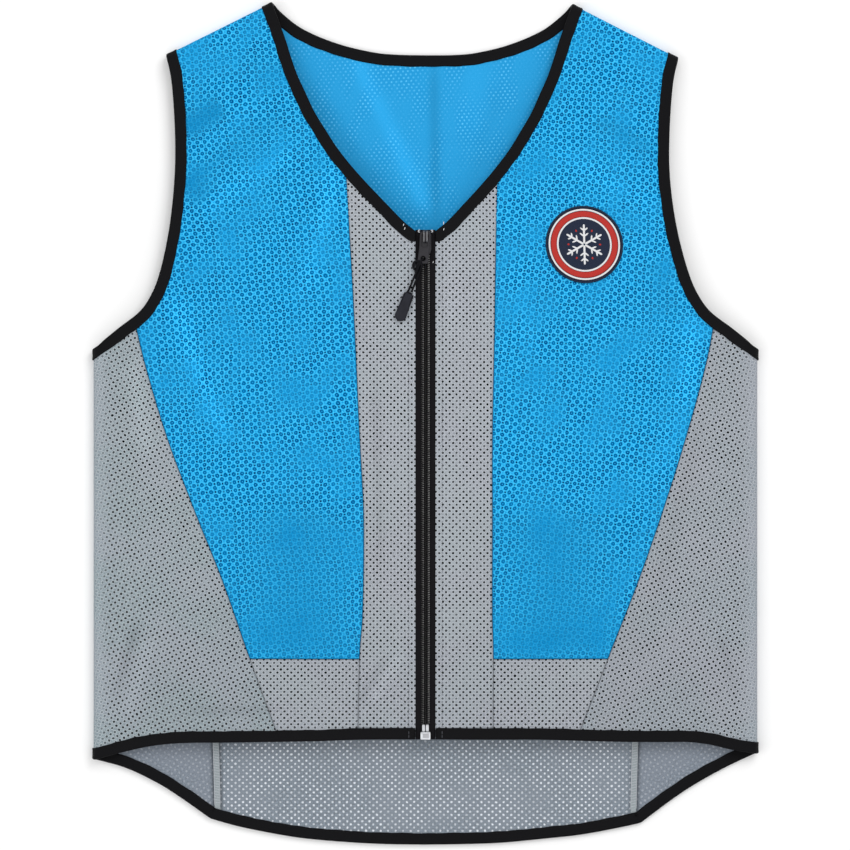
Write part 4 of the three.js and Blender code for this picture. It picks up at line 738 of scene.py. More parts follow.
def slab(name, surface, u, v, thickness, out, top, bottom, looks, shift=0.0, tone=1.0, inner_painted_shading=1.0):
    """Cloth from a grid of flat points. out is 1 where the surface's own normal points out of the vest."""
    n = normals(surface, u, v) * out
    middle = surface(u, v) + n * shift
    columns, rows = u.shape
    outer, inner = (n * (thickness / 2 + np.broadcast_to(rise, u.shape))[..., None] for rise in (top, bottom))
    points = np.concatenate([(middle + outer).reshape(-1, 3), (middle - inner).reshape(-1, 3)])
    size = columns * rows
    flip = np.cross(points[rows] - points[0], points[1] - points[0]) @ n[0, 0] < 0
    faces = [grid_quads(columns, rows, 0, flip), grid_quads(columns, rows, size, not flip)]
    ring = np.concatenate([
        np.arange(columns) * rows, (columns - 1) * rows + np.arange(1, rows),
        np.arange(columns - 2, -1, -1) * rows + rows - 1, np.arange(rows - 2, 0, -1),
    ])
    after = np.roll(ring, -1)
    rim = np.stack([ring, ring + size, after + size, after], 1)
    faces.append(rim[:, ::-1] if flip else rim)
    count = (columns - 1) * (rows - 1)
    index = np.concatenate([np.zeros(count), np.full(count, len(looks) - 1), np.zeros(len(rim))]).astype(int)
    uvs = np.stack([u.ravel(), v.ravel()], 1)
    # Painted light and shade for the outer face and for the inner face
    both = np.concatenate([np.broadcast_to(t, u.shape).ravel() for t in (tone, inner_painted_shading)])
    return make_mesh(name, points, np.concatenate(faces), np.concatenate([uvs, uvs]), looks, index, tone=both)


EDGE_STEPS = [0, 0.35, 0.8, 1.4, 2.2, 3.2, 4.4, 6.0]


def spread(length, step, low_edge=True, high_edge=True):
    """Shares along a length, closer together near the edges that are sewn."""
    low = EDGE_STEPS if low_edge else [0]
    high = EDGE_STEPS if high_edge else [0]
    inner = max(2, int(round((length - low[-1] - high[-1]) / step)))
    middle = np.linspace(low[-1], length - high[-1], inner + 1)
    return np.concatenate([low[:-1], middle, [length - h for h in high[-2::-1]]]) / length


def between(edges, across_shares, row_shares, roll=0):
    """Flat points of a piece between two edges given as x of y and two as y of x."""
    s = np.asarray(across_shares, float)

    def across(v):
        return lerp(edges["inner"](v), edges["outer"](v), s)

    def settled(edge):
        low, high = np.full(s.shape, -BODY_LENGTH), np.full(s.shape, BODY_LENGTH)
        for _ in range(40):
            middle = (low + high) / 2
            over = middle > edge(across(middle))
            high, low = np.where(over, middle, high), np.where(over, low, middle)
        return (low + high) / 2

    foot, head = settled(edges["low"]), settled(edges["high"])
    t = np.asarray(row_shares, float)[None, :]
    if roll:
        bend = np.minimum(shoulder_y(across(head)) - FOLD_RADIUS / SHOULDER_COS, head - FOLD_RADIUS)
        v = np.concatenate([
            lerp(foot[:, None], bend[:, None], t),
            lerp(bend[:, None], head[:, None], np.linspace(0, 1, roll + 1)[None, 1:]),
        ], 1)
    else:
        v = lerp(foot[:, None], head[:, None], t)
    u = np.stack([across(v[:, k]) for k in range(v.shape[1])], 1)
    return u, v


def grown(edge, amount):
    """The edge moved over by an amount that is measured square to it."""
    def at(place):
        slope = np.clip((edge(place + PROBE) - edge(place - PROBE)) / (2 * PROBE), -3, 3)
        return edge(place) + amount * np.hypot(1, slope)
    return at


RNG = np.random.default_rng(7)


def waves(count, low, high):
    """A gentle undulation from a few long waves, as a function of the flat pattern."""
    turn, length = RNG.uniform(0, math.pi, count), RNG.uniform(low, high, count)
    phase = RNG.uniform(0, 2 * math.pi, count)

    def at(x, y):
        total = 0
        for a, w, p in zip(turn, length, phase):
            total = total + np.sin((x * math.cos(a) + y * math.sin(a)) * 2 * math.pi / w + p)
        return total / count
    return at


soft_waves = waves(7, 55, 150)
small_waves = waves(6, 16, 34)


def ditch(distance, depth=0.85, reach=3.0):
    """How far the cloth dips towards a seam."""
    return -depth * (1 - smooth(distance / reach)) ** 1.3


def pucker(distance, place, amount, length=8.5, reach=9.0):
    """Small waves that stand across a seam and die out away from it."""
    swing = place / length + 0.45 * np.sin(place / 23.0) + 0.3 * np.sin(place / 9.7 + 1.0)
    return amount * np.sin(2 * math.pi * swing) * np.exp(-distance / reach)


def band_fold(x, y, ax, ay, bx, by, width, height):
    """A soft ridge along the line from a to b."""
    dx, dy = bx - ax, by - ay
    length = math.hypot(dx, dy)
    along = ((x - ax) * dx + (y - ay) * dy) / length
    off = ((x - ax) * dy - (y - ay) * dx) / length
    ends = smooth(along / (0.3 * length) + 0.5) * smooth((length - along) / (0.3 * length) + 0.5)
    return height * np.exp(-(off / width) ** 2) * ends


def side_distances(u, v):
    """Distances to a piece's first and last columns, and first and last rows."""
    return abs(u - u[:1]), abs(u[-1:] - u), abs(v - v[:, :1]), abs(v[:, -1:] - v)


def sew(piece, slot, node, u, v):
    """Settles a cloth piece and works out the box round its flat pattern and the pattern's area, without
    keeping them.
    """
    settle(piece, slot, node)
    width, length = float(np.ptp(u)) * MM, float(np.ptp(v)) * MM
    du, dv = np.diff(u, axis=0)[:, :-1], np.diff(v, axis=1)[:-1]
    area = float(np.abs(du * dv).sum()) * MM * MM
    area = min(max(area, 0.31 * width * length), width * length)


def name_of(sign):
    return "right" if sign < 0 else "left"


# Soft folds seen on the front, from one point to another: width, height and how much lighter, which is
# painted light and shade on the folds
FRONT_FOLDS = [
    (-280, -235, 280, -235, 55, 0, -0.06), (-110, -70, -110, -200, 58, 0, -0.1),
    (112, -75, 112, -200, 60, 0, -0.1), (-190, 182, -108, 236, 8, 0.5, 0.12),
    (-196, 212, -117, 268, 9, -0.4, -0.07), (-190, 236, -141, 279, 7, 0.2, 0.05),
    (-205, 252, -172, 272, 15, -0.3, -0.14), (-205, 208, -184, 190, 14, 0, -0.12),
    (-150, 318, -120, 300, 18, 0, -0.05), (-215, 106, -198, 50, 8, 0.7, 0.2),
    (-198, 50, -172, -10, 8, 0.5, 0.16), (-78, 216, -88, 165, 8, 0.4, 0.17),
    (-88, 165, -105, 110, 9, 0.2, 0.1), (116, 236, 198, 188, 8, 0.4, 0.1),
    (150, 262, 198, 236, 9, -0.3, -0.09), (231, 91, 223, 20, 8, 0.6, 0.18),
    (223, 20, 200, -40, 9, 0.2, 0.06), (196, 140, 210, 95, 14, 0, -0.06),
    (-252, 52, -240, -25, 8, 0.5, 0.14), (-277, -118, -281, -256, 7, -0.4, -0.18),
    (-269, -238, -249, -174, 5, -0.7, -0.18), (-256, -251, -238, -187, 5, 0.6, 0.08),
    (275, -152, 278, -256, 6, -0.4, -0.13), (269, -238, 256, -187, 5, -0.6, -0.14),
    (237, 3, 198, -152, 7, -0.3, -0.06), (-43, 37, -39, -118, 4, -0.3, -0.1),
    (-46, -238, -22, -200, 5, 0.5, 0.1), (-56, -238, -35, -204, 4, -0.4, -0.1),
    (25, 150, 23, 80, 7, 0.3, 0.06), (78, 130, 90, 60, 10, 0, 0.05),
    (-205, -248, -130, -246, 5, -0.3, -0.1),
]
# The same, on the inner face of the back
BACK_FOLDS = [
    (-59, 313, -29, 249, 8, 1.1, 0.14), (-29, 249, 0, 184, 9, 1.2, 0.17),
    (7, 305, 9, 180, 5, -1.0, -0.18), (45, 313, 38, 253, 12, 0.6, 0.05),
    (-91, 279, -39, 201, 8, -0.4, -0.05), (66, 290, 44, 214, 8, -0.4, -0.04),
]


def folds_at(rows, x, y):
    """Height of a table's soft folds, and their painted light and shade."""
    height, tone = 0.0, 1.0
    for ax, ay, bx, by, width, rise, change in rows:
        shape = band_fold(x, y, ax, ay, bx, by, width, 1.0)
        height, tone = height + rise * shape, tone + change * shape
    return height, tone


def seam_shade(*distances, depth=0.75, reach=0.75):
    """Dark line where cloth turns down into a seam."""
    near = np.minimum.reduce(distances)
    return 1 - depth * (1 - smooth(near / reach))


def build_front_half(sign):
    half, c = name_of(sign), CURVES[sign]
    panel_seam = TOP - PANEL_SEAM_DROP
    neck_edge, arm_edge = grown(neck_x, EDGE_INSET), grown(arm_x["front"], -EDGE_INSET)
    hem_edge = grown(c["front_hem"], EDGE_INSET)
    edges = {
        "inner": lambda y: np.maximum(grown(c["center"], SEAM_GAP)(y), neck_edge(y)),
        "outer": lambda y: np.minimum(grown(c["side"], -SEAM_GAP)(y), arm_edge(y)),
        "low": fixed(panel_seam + SEAM_GAP),
        "high": lambda x: shoulder_top_y(x) - SHOULDER_GAP,
    }
    u, v = between(edges, spread(150, 2.9), spread(560, 2.9, True, False), SHOULDER_ROWS)
    inner, outer, low, _ = side_distances(u, v)
    seam_part = smooth((TOP - FRONT_NECK_DROP + 40 - v) / 40)
    arm_part = smooth((v - (TOP - UNDERARM_DROP) - 30) / 30)
    flat = smooth((shoulder_y(u) - v) / 40)
    relief = ditch(inner, 0.85 * lerp(0.35, 1, seam_part)) + ditch(outer, lerp(0.85, 0.3, arm_part))
    relief = relief + ditch(low)
    relief = relief + pucker(inner, v, 0.16) + pucker(outer, v + 11, 0.2) + pucker(low, u, 0.16)
    relief = relief + flat * (0.7 * soft_waves(sign * u, v) + 0.16 * small_waves(sign * u, v + 60))
    # Painted light and shade: lighter and darker bands along the soft folds, and painted shade in a dark line
    # along the seams
    height, tone = folds_at(FRONT_FOLDS, sign * u, v)
    tone = tone * seam_shade(inner + 3 * (1 - seam_part), outer + 3 * arm_part, low, depth=0.8, reach=0.9)
    panel = slab(f"front_panel_{half}_cloth", front, sign * u, v, PADDED, 1, relief + flat * height, 0.0,
                 (f"blue_{half}", "lining"), tone=tone)
    sew(panel, "padded_cloth", f"front_panel_{half}", u, v)

    edges = {
        "inner": fixed(ZIP_HALF + TAPE_GAP),
        "outer": grown(c["center"], -SEAM_GAP),
        "low": hem_edge,
        "high": grown(neck_y, -EDGE_INSET),
    }
    u, v = between(edges, spread(50, 2.2), spread(450, 2.9, False, False))
    inner, outer, low, _ = side_distances(u, v)
    stitch_ditch = -0.35 * np.exp(-((u - STITCH_X) / 1.1) ** 2)
    relief = ditch(inner, 0.9, 1.6) + ditch(outer) + pucker(outer, v + 5, 0.16) + stitch_ditch
    relief = relief + 0.25 + pucker(abs(u - STITCH_X), v + 3, 0.1, 6.4, 5.0) + 0.35 * soft_waves(sign * u, v)
    # Painted light and shade: the folds, painted shade along the outer seam, a painted highlight along the
    # edge beside the zip tape, and dark painted shade on the cloth under the hem's binding
    height, tone = folds_at(FRONT_FOLDS, sign * u, v)
    tone = tone * seam_shade(outer, depth=0.55, reach=0.9) * (1 + 0.4 * (1 - smooth(inner / 1.2)))
    tone = np.where(v < HEM_CENTER_Y + BINDING_WIDTH, 0.12, tone)
    center = slab(f"front_center_{half}_cloth", front, sign * u, v, MESH, 1, relief + height, 0.0,
                  ("grey_center", "lining"), tone=tone)
    sew(center, "mesh_cloth", f"front_center_{half}", u, v)

    edges = {
        "inner": grown(c["center"], SEAM_GAP),
        "outer": grown(c["side"], -SEAM_GAP),
        "low": hem_edge,
        "high": fixed(panel_seam - SEAM_GAP),
    }
    u, v = between(edges, spread(90, 2.2), spread(66, 2.2, False, True))
    inner, outer, low, high = side_distances(u, v)
    relief = ditch(inner) + ditch(outer) + ditch(high) + pucker(high, u + 4, 0.16)
    relief = relief + 0.3 * soft_waves(sign * u, v)
    # Painted light and shade of the folds, with painted shade along the seams
    height, tone = folds_at(FRONT_FOLDS, sign * u, v)
    tone = tone * seam_shade(inner, outer, high, depth=0.6, reach=0.9)
    band = slab(f"front_band_{half}_cloth", front, sign * u, v, MESH, 1, relief + height, 0.0,
                ("grey_center", "lining"), tone=tone)
    sew(band, "mesh_cloth", f"front_band_{half}", u, v)


def build_side(sign):
    half, c = name_of(sign), CURVES[sign]
    flat = lambda u: np.where(u <= FOLD_X, u, 2 * FOLD_X - u)
    hem = lambda u: np.where(u <= FOLD_X, c["front_hem"](u), c["back_hem"](flat(u)))
    arm = lambda u: np.where(u <= FOLD_X, arm_y["front"](u), arm_y["back"](flat(u)))
    low, high = grown(hem, EDGE_INSET), grown(arm, -EDGE_INSET)
    seam_u = lambda y: 2 * FOLD_X - c["back_seam"](y)
    start, end = fixed(FLAT_HALF), fixed(2 * FOLD_X - FLAT_HALF)
    rows = spread(400, 2.7, False, False)
    parts = [
        between({"inner": grown(c["side"], SEAM_GAP), "outer": start, "low": low, "high": high},
                spread(90, 2.3, True, False), rows),
        between({"inner": start, "outer": end, "low": low, "high": high}, np.linspace(0, 1, 15)[1:], rows),
        between({"inner": end, "outer": grown(seam_u, -SEAM_GAP), "low": low, "high": high},
                spread(75, 3.0, False, True)[1:], rows),
    ]
    u, v = (np.concatenate([p[k] for p in parts]) for k in (0, 1))
    inner, outer, _, _ = side_distances(u, v)
    relief = ditch(inner) + ditch(outer) + pucker(inner, v + 2, 0.22) + pucker(outer, v, 0.15)
    on_front = smooth((FLAT_HALF - u) / 30)
    relief = relief + 0.5 * on_front * soft_waves(sign * u, v)
    # Painted light and shade: the folds on the front part, painted shade along the seams, and a painted
    # shadow on the inner face beside the back seam
    height, tone = folds_at(FRONT_FOLDS, sign * u, v)
    relief = relief + on_front * height
    tone = (1 + on_front * (tone - 1)) * seam_shade(inner, outer, depth=0.55, reach=0.9)
    shadow = 0.55 * np.exp(-(outer / 2.4) ** 2)
    piece = slab(f"side_panel_{half}_cloth", around(sign), u, v, MESH, sign, relief, 0.0,
                 (f"grey_side_{half}", "felt"), tone=tone, inner_painted_shading=1 - shadow)
    sew(piece, "mesh_cloth", f"side_panel_{half}", u, v)


def build_back():
    seam_y = TOP - YOKE_SEAM_DROP
    back_seam = CURVES[1]["back_seam"]
    seam_edge = lambda y: np.minimum(grown(back_seam, -SEAM_GAP)(y), grown(arm_x["back"], -EDGE_INSET)(y))

    def hem(x):
        right, left = (grown(CURVES[k]["back_hem"], EDGE_INSET)(np.abs(x)) for k in (-1, 1))
        return np.where(x < 0, right, left)

    def yoke_top(x):
        side = np.abs(x)
        neck = grown(back_neck_y, -EDGE_INSET)(side)
        return np.where(side < NECK_CORNER[0] + 1.6, neck, shoulder_top_y(side) - SHOULDER_GAP)

    edges = {"inner": lambda y: -seam_edge(y), "outer": seam_edge,
             "low": fixed(seam_y + SEAM_GAP), "high": yoke_top}
    u, v = between(edges, spread(440, 2.9), spread(330, 2.9, True, False), SHOULDER_ROWS)
    inner, outer, low, _ = side_distances(u, v)
    roll = smooth((shoulder_y(u) - v) / 40)
    # Painted light and shade: on the inner face along the soft folds, and on the outer face as painted shade
    # along the low seam
    height, tone = folds_at(BACK_FOLDS, u, v)
    inside = roll * (height + 0.6 * soft_waves(u, v) + 0.12 * small_waves(u, v)) + ditch(low)
    outside = ditch(inner) + ditch(outer) + ditch(low) + pucker(low, u, 0.16)
    yoke = slab("back_yoke_cloth", back, u, v, PADDED, -1, np.minimum(outside, 0), inside,
                ("blue_back", "blue_inside"), tone=seam_shade(low, inner + 300, depth=0.6), inner_painted_shading=tone)
    sew(yoke, "padded_cloth", "back_yoke", u, v)

    edges = dict(edges, low=hem, high=fixed(seam_y - SEAM_GAP))
    u, v = between(edges, spread(390, 2.9), spread(350, 2.9, False, True))
    inner, outer, _, high = side_distances(u, v)
    inside = 0.45 * soft_waves(u, v) + ditch(inner) + ditch(outer) + ditch(high) + 0.1 * small_waves(u, v)
    outside = ditch(inner) + ditch(outer) + ditch(high)
    # Painted shade along the seams, and a painted shadow on the inner face beside each seam strip
    tone = seam_shade(inner, outer, high, depth=0.35)
    from_strip = back_seam(v) - ALLOWANCE_WIDTH - 1.0 - np.abs(u)
    shadow = np.exp(-(from_strip / 1.5) ** 2) * np.where(u < 0, 0.5, 0.12)
    piece = slab("back_panel_cloth", back, u, v, MESH, -1, outside, inside, ("grey_back", "grey_inside"),
                 tone=tone, inner_painted_shading=tone * (1 - shadow))
    sew(piece, "mesh_cloth", "back_panel", u, v)


# Binding: a folded strip round the cloth's edges. w is in from the finished edge, h out from the cloth.
def binding_section():
    outer = [(10.0, 1.62), (9.7, 2.02), (9.0, 2.16), (8.0, 2.05), (5.5, 2.0), (3.0, 2.1), (1.6, 2.2)]
    turns = np.linspace(0.35, math.pi - 0.35, 6)
    arc = [(0.75 - 0.75 * math.sin(a), 2.2 * math.cos(a) * 0.93) for a in turns]
    inner = [(10.0, -1.35), (1.3, -1.32), (1.3, 1.32), (10.0, 1.35)]
    under = [(w, -h) for w, h in reversed(outer)]
    return np.array(outer + arc + under + inner)


SECTION = binding_section()


def on_layer(points, sign, layer):
    return [(sign * x, y, layer) for x, y in points]


def below_seam(points):
    return points[points[:, 1] <= shoulder_top_y(points[:, 0])]


def armhole_path(sign):
    return (on_layer(np.vstack([seam_point(ARM["front"]), below_seam(ARM["front"])]), sign, "front")
            + on_layer(below_seam(ARM["back"])[::-1][1:], sign, "back"))


def neck_path():
    run = np.vstack([NECK_CORNER, below_seam(neck_points)])
    return (on_layer(run[::-1], -1, "front") + on_layer(back_neck_points[::-1][1:], -1, "back")
            + on_layer(back_neck_points[1:-1], 1, "back") + on_layer(run, 1, "front"))


def hem_path():
    def run(sign, name, start, end):
        x = np.linspace(start, end, 801)
        return np.stack([x, CURVES[sign][name](x)], 1)
    edge = ZIP_HALF + 0.2
    return (on_layer(run(-1, "front_hem", edge, FOLD_X), -1, "front")
            + on_layer(run(-1, "back_hem", FOLD_X, 0)[1:], -1, "back")
            + on_layer(run(1, "back_hem", 0, FOLD_X)[1:], 1, "back")
            + on_layer(run(1, "front_hem", FOLD_X, edge)[1:], 1, "front"))


def surface_point(x, y, layer):
    return np.where((layer == "front")[:, None], front(x, y), back(x, y))


def sweep_frames(path, cloth_side, closed):
    """Stations along an edge: flat place, layer, inward direction and outward sign."""
    x, y = np.array([p[0] for p in path]), np.array([p[1] for p in path])
    layer = np.array([p[2] for p in path])
    facing = np.where(layer == "front", 1.0, -1.0)
    place = surface_point(x, y, layer)
    run = run_along(place)
    turned = (np.abs(x) > FLAT_HALF) | ((shoulder_y(x) - y) * SHOULDER_COS < FOLD_RADIUS)
    keep = [0]
    for i in range(1, len(x)):
        if run[i] - run[keep[-1]] > (1.0 if turned[i] else 2.6):
            keep.append(i)
    if not closed and keep[-1] != len(x) - 1:
        keep[-1] = len(x) - 1
    if closed and np.linalg.norm(place[keep[-1]] - place[0]) < 0.6:
        keep.pop()
    dx, dy = np.zeros(len(x)), np.zeros(len(x))
    for part in np.split(np.arange(len(x)), np.flatnonzero(layer[1:] != layer[:-1]) + 1):
        dx[part], dy[part] = np.gradient(x[part]), np.gradient(y[part])
    length = np.hypot(dx, dy) + 1e-9
    across = np.stack([-dy / length, dx / length], 1) * (cloth_side * facing)[:, None]
    side = np.sign(x)
    fold = np.where((np.abs(x) > FLAT_HALF)[:, None], np.array([[0.0, 1.0]]),
                    np.stack([side * SHOULDER_OUT[1], np.full(len(x), -SHOULDER_OUT[0])], 1))
    fold = fold * np.sign((fold * across).sum(1))[:, None]
    # Near a fold, the direction blends into that of the nearest station on the fold, also round a loop's end
    hits, which = run[turned], np.flatnonzero(turned)
    away = np.abs(hits - run[:, None])
    far, nearest = away.min(1), which[away.argmin(1)]
    if closed:
        away = np.abs(hits + np.where(hits > run[-1] / 2, -run[-1], run[-1]) - run[:, None])
        nearest = np.where(away.min(1) < far, which[away.argmin(1)], nearest)
        far = np.minimum(far, away.min(1))
    w = smooth(far / 14)[:, None]
    inward = across * w + fold[nearest] * (1 - w)
    inward /= np.linalg.norm(inward, axis=1, keepdims=True)
    keep = np.array(keep)
    return x[keep], y[keep], layer[keep], inward[keep], facing[keep], run[keep], turned[keep]


def leg_point(frames, w, h):
    x, y, layer, inward, facing, _, _ = frames
    px, py = x + inward[:, 0] * w, y + inward[:, 1] * w
    n = np.where((layer == "front")[:, None], normals(front, px, py), normals(back, px, py))
    return surface_point(px, py, layer) + n * (h * facing)[:, None]


def fanned_end(frames, last):
    """Adds stations that turn the binding's end in line with the zip."""
    x, y, layer, inward, facing, run, turned = frames
    k = -1 if last else 0
    extra = []
    for part, scale in ((0.35, 0.98), (0.7, 0.95), (1.0, 0.92)):
        turn = inward[k] * (1 - part) + np.array([0.0, -1.0]) * part
        extra.append(turn / np.linalg.norm(turn) * scale)
    extra = np.array(extra)
    rows = [(x, np.full(3, x[k])), (y, np.full(3, y[k])), (layer, np.full(3, layer[k])), (inward, extra),
            (facing, np.full(3, facing[k])), (run, run[k] + np.arange(1, 4) * (0.01 if last else -0.01)),
            (turned, np.full(3, False))]
    return tuple(np.concatenate([a, b] if last else [b[::-1], a]) for a, b in rows)


def band_quads(rings, sides, closed=False):
    """Quads between rings of points that each have the same number of sides."""
    faces = []
    for r in range(rings if closed else rings - 1):
        n = (r + 1) % rings
        for k in range(sides):
            m = (k + 1) % sides
            faces.append((r * sides + k, r * sides + m, n * sides + m, n * sides + k))
    return faces


def sweep_binding(name, path, cloth_side, closed, fanned):
    frames = sweep_frames(path, cloth_side, closed)
    if fanned:
        frames = fanned_end(fanned_end(frames, True), False)
    run, turned = frames[5], frames[6]
    rings = len(run)
    calm = np.where(turned, 0.0, 1.0)
    ripple = calm * (0.16 * np.sin(run / 2.9 + 2 * np.sin(run / 37)) + 0.12 * np.sin(run / 7.3))
    points, uvs = [], []
    for (w, h), place in zip(SECTION, run_along(SECTION)):
        grow = ripple * (w / BINDING_WIDTH) ** 2
        rise = h + calm * 0.08 * np.sin(run / 1.7 + w) * (abs(h) > 1.5) * np.sign(h)
        points.append(leg_point(frames, w + grow, rise))
        uvs.append(np.stack([run, np.full(rings, place)], 1))
    points, uvs = np.stack(points, 1), np.stack(uvs, 1)
    count = len(SECTION)
    faces = band_quads(rings, count, closed)
    if not closed:
        for start, turn in ((0, 1), ((rings - 1) * count, -1)):
            for k in range(count // 2 - 1):
                cap = (start + k, start + k + 1, start + count - 2 - k, start + count - 1 - k)
                faces.append(cap[::turn])
    piece = make_mesh(name, points.reshape(-1, 3), faces, uvs.reshape(-1, 2), ["binding"])
    recalculate(piece)
    return piece, frames


def recalculate(piece):
    """Makes all faces point outwards."""
    bm = bmesh.new()
    bm.from_mesh(piece.data)
    bmesh.ops.recalc_face_normals(bm, faces=bm.faces)
    bm.to_mesh(piece.data)
    bm.free()


def tube(points, radius, sides, flatten=1.0):
    """Points and quads of a closed tube with round ends along a path."""
    points = np.asarray(points, float)
    tangent = np.gradient(points, axis=0)
    tangent /= np.linalg.norm(tangent, axis=1, keepdims=True)
    side = np.cross(tangent, [0.0, 0.0, 1.0])
    weak = np.linalg.norm(side, axis=1) < 1e-3
    side[weak] = np.cross(tangent[weak], [0.0, 1.0, 0.0])
    side /= np.linalg.norm(side, axis=1, keepdims=True)
    top = np.cross(side, tangent)
    radius = np.full(len(points), radius) if np.isscalar(radius) else np.asarray(radius)
    angles = np.arange(sides) * 2 * math.pi / sides
    rings = [p + r * (np.outer(np.cos(angles), s) + flatten * np.outer(np.sin(angles), t))
             for p, s, t, r in zip(points, side, top, radius)]
    tips = [points[:1] - tangent[:1] * radius[0] * 0.6, points[-1:] + tangent[-1:] * radius[-1] * 0.6]
    verts = np.concatenate(rings + tips)
    n = len(points)
    faces = band_quads(n, sides)
    first, last = n * sides, n * sides + 1
    for k in range(sides):
        m = (k + 1) % sides
        faces.append((first, m, k))
        faces.append((last, (n - 1) * sides + k, (n - 1) * sides + m))
    return verts, faces


def joined(name, parts, looks, slot_ids=None):
    """One mesh from many small closed parts."""
    verts, faces, slots, start = [], [], [], 0
    for i, (v, f) in enumerate(parts):
        verts.append(v)
        faces += [tuple(c + start for c in face) for face in f]
        slots += [slot_ids[i] if slot_ids else 0] * len(f)
        start += len(v)
    verts = np.concatenate(verts)
    piece = make_mesh(name, verts, faces, verts[:, :2], looks, slots)
    recalculate(piece)
    return piece


def stitches(name, lines, look, slot, length, gap, radius, height):
    """Short raised threads along lines of surface points with their normals."""
    parts = []
    for points, outs in lines:
        run = run_along(points)
        place = 0.6
        while place + length < run[-1] - 0.4:
            at = np.linspace(place, place + length, 4)
            p = np.stack([np.interp(at, run, points[:, k]) for k in range(3)], 1)
            n = np.stack([np.interp(at, run, outs[:, k]) for k in range(3)], 1)
            lift = np.array([-0.25, height, height, -0.25])[:, None]
            parts.append(tube(p + n * lift, radius, 5))
            place += length + gap
    piece = joined(name, parts, [look])
    return settle(piece, slot)


# The binding's stitches: how far in from the finished edge, and how high over the cloth's middle
STITCH_IN, STITCH_OUT = 8.6, 2.12


def stitch_line(frames, side=1.0):
    base = leg_point(frames, STITCH_IN, side * STITCH_OUT)
    out = leg_point(frames, STITCH_IN, side * (STITCH_OUT + 1)) - base
    return base, out / np.linalg.norm(out, axis=1, keepdims=True)


def build_bindings():
    lines = []
    for name, path, cloth_side, closed, fanned in (
        ("armhole_binding_right", armhole_path(-1), 1, True, False),
        ("armhole_binding_left", armhole_path(1), -1, True, False),
        ("neck_binding", neck_path(), 1, False, True), ("hem_binding", hem_path(), -1, False, False),
    ):
        piece, frames = sweep_binding(f"{name}_cloth", path, cloth_side, closed, fanned)
        settle(piece, "black_tape", name)
        lines.append(stitch_line(frames))
    lines.append(stitch_line(frames, -1.0))
    stitches("binding_stitches", lines, "black_thread", "black_tape", 2.6, 0.8, 0.2, 0.05)


# Zip
STITCH_X = 14.3
ZIP_TOP_Y = TOP - FRONT_NECK_DROP + ZIP_TOP_RISE
HEM_CENTER_Y = TOP - FRONT_LENGTH
TAPE_TOP = TAPE / 2 - TAPE_SINK
COIL_BOTTOM = TAPE_TOP + CLEARANCE
COIL_TOP = COIL_BOTTOM + COIL_HEIGHT
SLIDER_TOP_Y = ZIP_TOP_Y - CLEARANCE
SLIDER_MIDDLE_Y = SLIDER_TOP_Y - SLIDER_LENGTH / 2
COIL_END_Y = HEM_CENTER_Y + BOX[1] + PIN[1] + 2 * CLEARANCE
SLIDER_TOP = COIL_HEIGHT + CLEARANCE + SLIDER_PLATE
SLIDER_HALF = ZIP_MIDDLE_GAP / 2 + COIL_WIDTH + CLEARANCE + SLIDER_WALL
BRIDGE_TOP_Y = SLIDER_LENGTH / 2 - BRIDGE_SETBACK
TAB_TOP_Y = BRIDGE_TOP_Y - BRIDGE_BAR - CLEARANCE
TAB_BOTTOM = COIL_BOTTOM + SLIDER_TOP + CLEARANCE


def front_at(x, y):
    return front(np.array([float(x)]), np.array([float(y)]))[0]


def zip_slope(y):
    return (front_at(0, y + 5)[2] - front_at(0, y - 5)[2]) / 10


def on_zip(points, y, height):
    """Moves points from the zip's own frame at height y to the vest's frame."""
    base, turn = front_at(0, y), math.atan(zip_slope(y))
    p = np.asarray(points, float)
    c, s = math.cos(turn), math.sin(turn)
    up, rise = base[1] + p[:, 1] * c - p[:, 2] * s, base[2] + height + p[:, 1] * s + p[:, 2] * c
    return np.stack([p[:, 0], up, rise], 1)


# One tooth of the coil, from the middle out: aside, height and the wire's radius
COIL_TOOTH = [(0.18, 0.5, 0.42), (0.35, 0.95, 0.42), (0.95, 1.3, 0.38), (1.8, 1.36, 0.38), (2.7, 1.2, 0.4),
              (3.35, 0.85, 0.42), (3.5, 0.45, 0.36)]


def build_zip():
    for sign in (-1, 1):
        half = name_of(sign)
        edges = {"inner": fixed(SEAM_GAP), "outer": fixed(ZIP_HALF - TAPE_GAP),
                 "low": fixed(HEM_CENTER_Y), "high": fixed(ZIP_TOP_Y)}
        u, v = between(edges, np.linspace(0, 1, 9), np.linspace(0, 1, 180))
        relief = 0.18 * np.exp(-((u - 6.2) / 0.9) ** 2) + 0.06 * np.sin(v / 3.1) * smooth((u - 5) / 3)
        tape = slab(f"zip_tape_{half}_cloth", front, sign * u, v, TAPE, 1, relief, 0.0, ("tape",), -TAPE_SINK)
        settle(tape, "black_tape", f"zip_tape_{half}")

        parts = []
        count = int((SLIDER_TOP_Y - COIL_END_Y) / COIL_PITCH)
        aside, rise, radius = np.array(COIL_TOOTH).T
        slant = np.linspace(-0.62, 0.62, len(aside))
        for i in range(count):
            y = COIL_END_Y + (i + (0.5 if sign > 0 else 0.05)) * COIL_PITCH
            z = front_at(sign * 1.8, y)[2] + COIL_BOTTOM
            parts.append(tube(np.stack([sign * aside, y + slant, z + rise], 1), radius, 6))
        ys = np.arange(COIL_END_Y, SLIDER_TOP_Y, 6.0)
        core = np.array([front_at(sign * 1.9, y) + [0, 0, COIL_BOTTOM + 0.45] for y in ys])
        parts.append(tube(core, 0.55, 6, 0.8))
        coil = joined(f"zip_coil_{half}_teeth", parts, ["coil", "cord"], [0] * count + [1])
        settle(coil, "black_coil", f"zip_coil_{half}")


def polyline(data, points):
    spline = data.splines.new("POLY")
    spline.points.add(len(points) - 1)
    for point, place in zip(spline.points, points):
        point.co = (*place, 1)
    return spline


